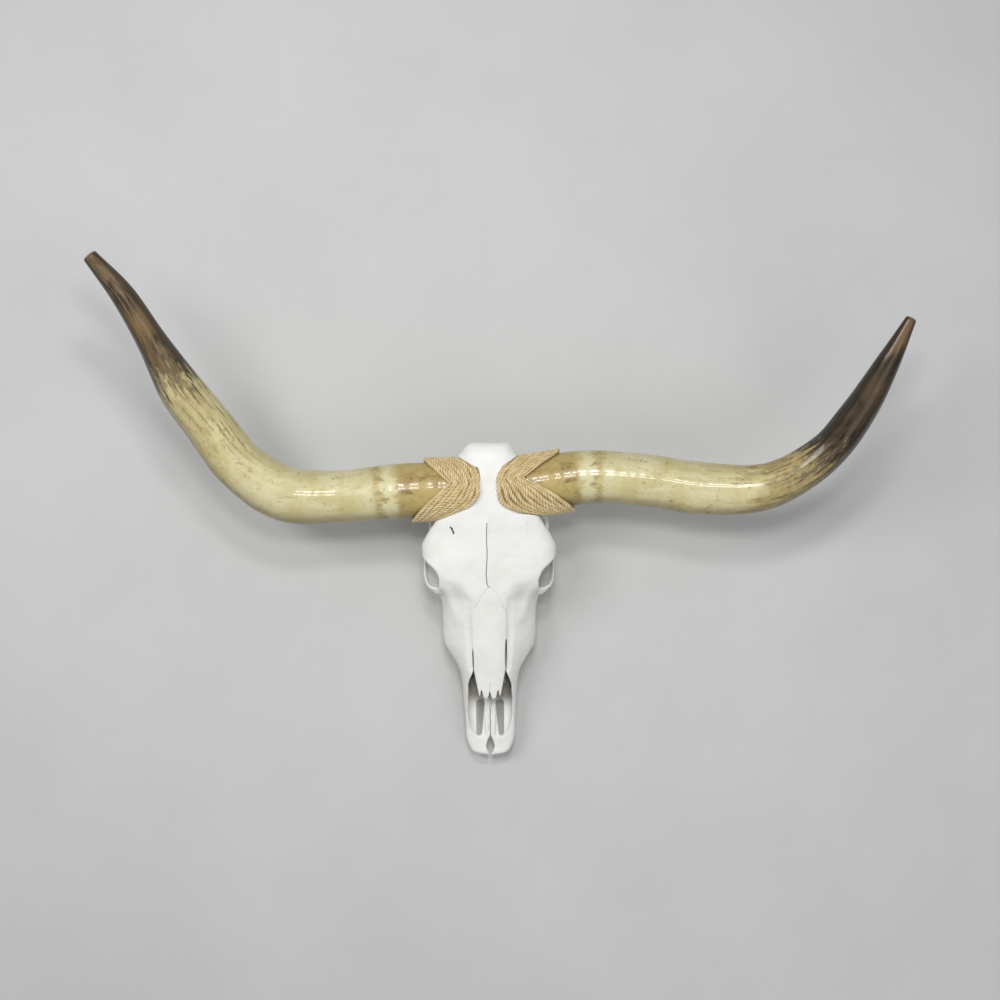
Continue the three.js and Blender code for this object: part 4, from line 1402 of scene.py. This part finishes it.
# %% Node helpers
class Finish:
    """A material, and short calls that add its nodes."""

    def __init__(self, name):
        self.material = bpy.data.materials.new(name)
        self.material.use_nodes = True
        self.tree = self.material.node_tree
        self.shader = self.tree.nodes["Principled BSDF"]

    def fill(self, node, inputs):
        for key, value in inputs.items():
            if isinstance(value, bpy.types.NodeSocket):
                self.tree.links.new(value, node.inputs[key])
            else:
                node.inputs[key].default_value = value

    def node(self, kind, inputs, output, **settings):
        made = self.tree.nodes.new("ShaderNode" + kind)
        for key, value in settings.items():
            setattr(made, key, value)
        self.fill(made, inputs)
        return made.outputs[output]

    def mix(self, share, first, second, blend="MIX"):
        """One colour over another. The sockets are found by place, as a Mix node has many."""
        first, second = ((*c, 1.0) if isinstance(c, tuple) else c for c in (first, second))
        return self.node("Mix", {0: share, 6: first, 7: second}, 2, data_type="RGBA", blend_type=blend)

    def over(self, share, colour, blend="MIX"):
        """Lays one more colour over those that are there."""
        self.colour = self.mix(share, self.colour, colour, blend)

    def place(self):
        return self.node("TexCoord", {}, "Object")

    def stored(self, name, output="Fac"):
        return self.node("Attribute", {}, output, attribute_name=name)

    def ramp(self, value, low, high, out_low=0.0, out_high=1.0):
        """A soft step from one value to another as the input goes from low to high."""
        inputs = {"Value": value, "From Min": low, "From Max": high, "To Min": out_low, "To Max": out_high}
        return self.node("MapRange", inputs, "Result", interpolation_type="SMOOTHSTEP")

    def maths(self, operation, first, second=0.0):
        return self.node("Math", {0: first, 1: second}, 0, operation=operation)

    def times(self, first, second):
        return self.maths("MULTIPLY", first, second)

    def far_from(self, value, middle):
        return self.maths("ABSOLUTE", self.maths("SUBTRACT", value, middle))

    def noise(self, where, scale, detail=3.0, rough=0.5, distortion=0.0):
        """Noise of one scale, or of a scale for each axis, which stretches it."""
        if isinstance(scale, tuple):
            where, scale = self.node("Mapping", {"Vector": where, "Scale": scale}, "Vector"), 1.0
        inputs = {"Vector": where, "Scale": scale, "Detail": detail, "Roughness": rough}
        return self.node("TexNoise", {**inputs, "Distortion": distortion}, "Fac")

    def surface(self, roughness, bumps, **levels):
        """Sets the shader. Bumps are chained, each as (height, strength, distance in metres)."""
        normal = {}
        for height, strength, distance in bumps:
            inputs = {"Height": height, "Strength": strength, "Distance": distance, **normal}
            normal = {"Normal": self.node("Bump", inputs, "Normal")}
        self.fill(self.shader, {"Base Color": self.colour, "Roughness": roughness, **normal})
        for key, value in levels.items():
            self.shader.inputs[key.replace("_", " ")].default_value = value
        return self.material


# %% [markdown]
# Bleached bone is a warm white. Its hollows are greyed as painted shade, and its edges are left
# clean. It is matt, with a fine grain that runs along the snout, scattered pores and the darker
# line of each open suture. Deep places are darkened as painted shade too. The grain is a noise
# that is stretched along y.

# %% Bone finish
BONE_LIGHT = (0.86, 0.855, 0.82)
BONE_WARM = (0.82, 0.805, 0.745)
BONE_GREY_AND_SHADE = (0.50, 0.47, 0.40)
BONE_DEEP_SHADE = (0.26, 0.24, 0.20)
BONE_DARK = (0.045, 0.038, 0.03)


def bone_finish():
    f = Finish("bleached_bone")
    where = f.place()
    patches = f.noise(where, 28.0, 4.0, 0.6)
    grain = f.noise(where, (900.0, 120.0, 900.0), 4.0, 0.6)
    pores = f.node("TexVoronoi", {"Vector": where, "Scale": 620.0}, "Distance")
    porous = f.times(f.ramp(pores, 0.10, 0.26, 1.0, 0.0), f.ramp(f.noise(where, 46.0), 0.5, 0.68))
    f.colour = f.mix(f.ramp(patches, 0.40, 0.72), BONE_LIGHT, BONE_WARM)
    f.over(f.ramp(grain, 0.45, 0.80, 0.0, 0.10), BONE_GREY_AND_SHADE)
    # Painted shade: hollows turn grey and edges stay clean.
    f.over(f.times(f.ramp(f.stored("hollow"), 0.05, 0.75), 0.62), BONE_GREY_AND_SHADE)
    f.over(f.times(porous, 0.22), BONE_GREY_AND_SHADE)
    # Painted shade on places deep inside the head's main mass, most of all in the nose.
    f.over(f.ramp(f.stored("inside"), 2.0, 21.0, 0.0, 0.9), BONE_DEEP_SHADE)
    f.over(f.ramp(f.stored("line"), 0.12, 0.85), BONE_DARK)
    bumps = [(grain, 0.25, 0.0004), (porous, 0.3, -0.0004), (patches, 0.3, 0.0006)]
    return f.surface(f.ramp(patches, 0.3, 0.8, 0.52, 0.68), bumps, Specular_IOR_Level=0.35)


BONE = bone_finish()

# %% [markdown]
# Tooth enamel is ivory and a little glossy, with faint upright streaks, and the grooves hold
# brown stain.

# %% Tooth finish
ENAMEL = (0.72, 0.66, 0.52)
DENTINE = (0.40, 0.29, 0.17)
STAIN = (0.10, 0.06, 0.03)


def tooth_finish():
    f = Finish("worn_tooth")
    streaks = f.noise(f.place(), (420.0, 420.0, 110.0), 4.0, 0.6)
    f.colour = f.mix(f.ramp(streaks, 0.45, 0.8, 0.0, 0.6), ENAMEL, DENTINE)
    f.over(f.ramp(f.stored("hollow"), -0.25, 0.5), STAIN)
    return f.surface(f.ramp(streaks, 0.3, 0.7, 0.28, 0.5), [(streaks, 0.35, 0.0003)])


TOOTH = tooth_finish()

# %% [markdown]
# Polished horn is cream, olive and brown in layers, under a clear lacquer. Near the binding
# the horn is amber and mottled, the middle is pale, and the outer third darkens in streaks
# that follow the growth. The streaks come from noise on the stored grain, which is stretched
# along the horn. The lacquer is the shader's coat, so the gloss comes from the lamps alone.

# %% Horn finish
CREAM = (0.59, 0.515, 0.26)
PALE = (0.70, 0.65, 0.39)
YELLOW = (0.55, 0.43, 0.15)
OLIVE = (0.24, 0.17, 0.062)
AMBER = (0.40, 0.275, 0.095)
UMBER = (0.125, 0.070, 0.022)
AMBER_END = 92.0
WOOD_BROWNS = [(0.038, 0.024, 0.010), (0.205, 0.150, 0.092), (0.225, 0.138, 0.056)]
SMOKE_BROWNS = [(0.013, 0.007, 0.002), (0.058, 0.033, 0.008), (0.086, 0.053, 0.012)]


def horn_finish(name, dark_start, dark_full, darks, tip_colour, tip_start, veil):
    """Zones along the horn, in millimetres from where it leaves the bone."""
    f = Finish("polished_horn_" + name)
    grain = f.stored("grain", "Vector")
    length, poll_side = (f.node("SeparateXYZ", {0: grain}, axis) for axis in "ZY")
    streak = f.noise(grain, (0.26, 0.26, 0.010), 5.0, 0.62)
    fine = f.noise(grain, (0.8, 0.8, 0.045), 4.0, 0.65)
    cloud = f.noise(grain, (0.026, 0.026, 0.014), 4.0, 0.55, 0.6)
    spots = f.noise(grain, (0.12, 0.12, 0.07), 5.0, 0.72, 0.5)
    flecks = f.noise(grain, (0.42, 0.42, 0.26), 3.0, 0.6)
    bands = f.noise(grain, (0.012, 0.012, 0.05), 4.0, 0.7, 0.8)
    swings = ((cloud, 170.0), (streak, 210.0), (spots, 100.0))
    drift, wander, grainy = (f.times(f.maths("SUBTRACT", noise, 0.5), size) for noise, size in swings)
    ragged = f.maths("ADD", length, f.maths("ADD", wander, f.maths("ADD", drift, grainy)))

    # The pale middle, with yellow bands and clusters of flecks.
    f.colour = f.mix(f.ramp(cloud, 0.36, 0.62), PALE, CREAM)
    f.over(f.ramp(bands, 0.48, 0.70, 0.0, 0.4), YELLOW)
    f.over(f.ramp(fine, 0.52, 0.82, 0.0, 0.3), OLIVE)
    f.over(f.times(f.times(f.ramp(spots, 0.56, 0.68), f.ramp(flecks, 0.48, 0.58)), 0.75), UMBER)
    f.over(f.ramp(spots, 0.56, 0.74, 0.0, 0.35), OLIVE)

    # Dashes that thicken towards the dark end, most of them on the poll's side.
    near = f.ramp(length, dark_start - 190.0, dark_start)
    dash = f.times(f.ramp(streak, 0.51, 0.59), f.ramp(flecks, 0.36, 0.52))
    dash = f.times(dash, f.times(near, f.ramp(poll_side, -20.0, 24.0, 0.3, 1.0)))
    f.over(f.times(near, 0.28), YELLOW)
    f.over(f.times(dash, 0.85), UMBER)

    # The amber part by the binding, a pale ring where it ends, and a speckled band beyond.
    waved = f.maths("ADD", length, f.times(grainy, 0.42))
    f.over(f.ramp(f.far_from(waved, AMBER_END + 7.0), 3.0, 9.0, 0.7, 0.0), PALE)
    speckled = f.mix(f.ramp(spots, 0.46, 0.58), YELLOW, OLIVE)
    f.over(f.ramp(f.far_from(waved, AMBER_END + 25.0), 4.0, 12.0, 0.6, 0.0), speckled)
    mottled = f.mix(f.ramp(spots, 0.44, 0.68, 0.0, 0.85), AMBER, UMBER)
    mottled = f.mix(f.ramp(cloud, 0.38, 0.56, 0.0, 0.6), mottled, YELLOW)
    f.over(f.ramp(waved, AMBER_END - 12.0, AMBER_END, 0.92, 0.0), mottled)

    # The dark end, behind a veil of gold, and the tip's own colour.
    gold = f.mix(f.ramp(spots, 0.40, 0.60), AMBER, OLIVE)
    f.over(f.ramp(ragged, dark_start - 75.0, dark_start - 5.0, 0.0, veil), gold)
    dark = f.ramp(ragged, dark_start, dark_full)
    smoky = f.mix(f.ramp(streak, 0.40, 0.62), darks[0], darks[1])
    smoky = f.mix(f.ramp(cloud, 0.42, 0.68, 0.0, 0.7), smoky, darks[2])
    smoky = f.mix(f.ramp(fine, 0.50, 0.70, 0.0, 0.6), smoky, darks[0])
    f.over(dark, smoky)
    f.over(f.ramp(ragged, tip_start, tip_start + 45.0, 0.0, 0.75), tip_colour)

    # Painted shade: the lower face, towards the nose, is darkened, and so are both flanks of the dark end.
    side = f.stored("side")
    f.over(f.ramp(side, -0.6, -1.0, 0.0, 0.55), OLIVE, "MULTIPLY")
    flank_shade = f.ramp(f.maths("ABSOLUTE", side), 0.35, 0.88)
    f.over(f.times(flank_shade, f.ramp(dark, 0.2, 0.9, 0.10, 0.95)), darks[0])
    lacquer = {"Coat_Weight": 0.35, "Coat_Roughness": 0.09, "Coat_IOR": 1.5, "Specular_IOR_Level": 0.3}
    bumps = [(fine, 0.2, 0.0004), (streak, 0.3, 0.0012)]
    return f.surface(f.ramp(cloud, 0.36, 0.62, 0.20, 0.46), bumps, **lacquer)


HORN_FINISHES = {
    "right": horn_finish("right", 470.0, 560.0, WOOD_BROWNS, (0.13, 0.092, 0.045), 715.0, 0.25),
    "left": horn_finish("left", 420.0, 515.0, SMOKE_BROWNS, (0.19, 0.105, 0.045), 672.0, 0.7),
}

# %% [markdown]
# The cord is tan plant fibre. Its fibres run along each ply, so the noise is read in the
# lay's own coordinates, which turn with the twist. The valleys between plies are darkened as
# painted shade, so the crowns stand out pale, and the fuzz that catches light is the shader's sheen.

# %% Cord finish
CORD_TAN = (0.68, 0.51, 0.235)
CORD_PALE = (0.83, 0.68, 0.38)
CORD_FIBRE_AND_SHADE = (0.20, 0.115, 0.045)
CORE_SHADE_DARK = (0.19, 0.115, 0.05)
CORE_SHADE_LIGHT = (0.34, 0.225, 0.11)


def cord_finish():
    f = Finish("twisted_cord")
    lay = f.stored("lay", "Vector")
    fibre = f.noise(lay, (2.6, 2.6, 0.22), 4.0, 0.65)
    f.colour = f.mix(f.ramp(f.noise(lay, (0.05, 0.05, 0.03), 2.0), 0.35, 0.65), CORD_TAN, CORD_PALE)
    f.over(f.ramp(fibre, 0.42, 0.72, 0.0, 0.4), CORD_FIBRE_AND_SHADE)
    # Painted shade: the valleys between the plies are darkened.
    f.over(f.ramp(f.stored("deep"), 0.25, 1.0, 0.0, 0.85), CORD_FIBRE_AND_SHADE)
    fuzz = {"Sheen_Weight": 0.25, "Sheen_Roughness": 0.5, "Specular_IOR_Level": 0.3}
    return f.surface(f.ramp(fibre, 0.3, 0.7, 0.78, 0.92), [(fibre, 0.6, 0.0005)], **fuzz)


def core_finish():
    f = Finish("cord_under_layer")
    fibre = f.noise(f.place(), 420.0, 4.0, 0.6)
    # The under-layer's colour is painted shade, dark where the gaps between the turns are.
    f.colour = f.mix(f.ramp(fibre, 0.35, 0.7), CORE_SHADE_DARK, CORE_SHADE_LIGHT)
    return f.surface(f.ramp(fibre, 0.3, 0.7, 0.85, 0.95), [(fibre, 0.5, 0.0006)])


CORD = cord_finish()
CORE = core_finish()

# %% [markdown]
# A material does nothing until a mesh has it. Each piece takes its finish here.

# %% Each piece gets its finish
for piece in bones.values():
    piece.data.materials.append(BONE)
for piece in teeth:
    piece.data.materials.append(TOOTH)
for name in HORNS:
    horns[name].data.materials.append(HORN_FINISHES[name])
    bindings[name].data.materials.append(CORD)
    cores[name].data.materials.append(CORE)
print("finishes", [m.name for m in bpy.data.materials if m.users])

# %% [markdown]
# ## Floor, lights and camera
#
# The floor is a plain pale sheet. The camera looks straight down from three metres, with its
# top towards the poll. Two small lamps on the poll's side light the bone and put short bright
# glints on the lacquer, a taller one on the animal's right gives the shadows their direction,
# a large one across from it softens them, and the world fills the rest.

# %% Floor
FLOOR_SIZE = 14.0
FLOOR_COLOURS = (0.57, 0.57, 0.555), (0.60, 0.60, 0.585)
corners = [(-1, -1, 0), (1, -1, 0), (1, 1, 0), (-1, 1, 0)]
floor_mesh = bpy.data.meshes.new("floor")
floor_mesh.from_pydata([Vector(c) * FLOOR_SIZE / 2 for c in corners], [], [(0, 1, 2, 3)])
floor = bpy.data.objects.new("floor", floor_mesh)
floor.location = (0, 0, -0.0005)
bpy.context.scene.collection.objects.link(floor)
pale_floor = Finish("pale_floor")
floor_tone = pale_floor.noise(pale_floor.place(), 3.0, 5.0, 0.6)
pale_floor.colour = pale_floor.mix(pale_floor.ramp(floor_tone, 0.3, 0.7), *FLOOR_COLOURS)
floor_mesh.materials.append(pale_floor.surface(0.9, []))


# %% Lights
def lamp(name, place, aim_height, size, watts):
    """A rectangular lamp that points at a height above the middle of the floor."""
    light = bpy.data.lights.new(name, "AREA")
    light.shape = "RECTANGLE"
    light.size, light.size_y = size
    light.energy = watts
    made = bpy.data.objects.new(name, light)
    made.location = place
    made.rotation_euler = (Vector((0, 0, aim_height)) - Vector(place)).to_track_quat("-Z", "Y").to_euler()
    bpy.context.scene.collection.objects.link(made)


lamp("near_lamp", (0.02, 0.5, 2.6), 0.15, (0.40, 0.28), 12.5)
lamp("far_lamp", (0.02, 1.15, 2.5), 0.15, (0.40, 0.28), 13.5)
lamp("side_lamp", (-1.25, 0.6, 2.3), 0.1, (0.5, 1.2), 20.0)
lamp("fill_lamp", (1.0, -1.1, 2.2), 0.1, (1.4, 1.4), 10.0)
world = bpy.data.worlds.new("soft_room")
bpy.context.scene.world = world
world.use_nodes = True
background = world.node_tree.nodes["Background"]
background.inputs["Color"].default_value = (0.92, 0.95, 1.0, 1.0)
background.inputs["Strength"].default_value = 0.36
bpy.context.scene.view_settings.view_transform = "Standard"

# %% Camera
CAMERA_SIDE = 18.0
CAMERA_HEIGHT = 3.0
FOCAL_PIXELS = 1780.0
PICTURE_PIXELS = 1000.0
camera_data = bpy.data.cameras.new("camera")
camera = bpy.data.objects.new("camera", camera_data)
camera_data.sensor_width = 36.0
camera_data.lens = FOCAL_PIXELS / PICTURE_PIXELS * camera_data.sensor_width
camera.location = (HOME[0] + CAMERA_SIDE * MM, HOME[1], CAMERA_HEIGHT)
camera.rotation_euler = (0, 0, 0)
bpy.context.scene.collection.objects.link(camera)
bpy.context.scene.camera = camera
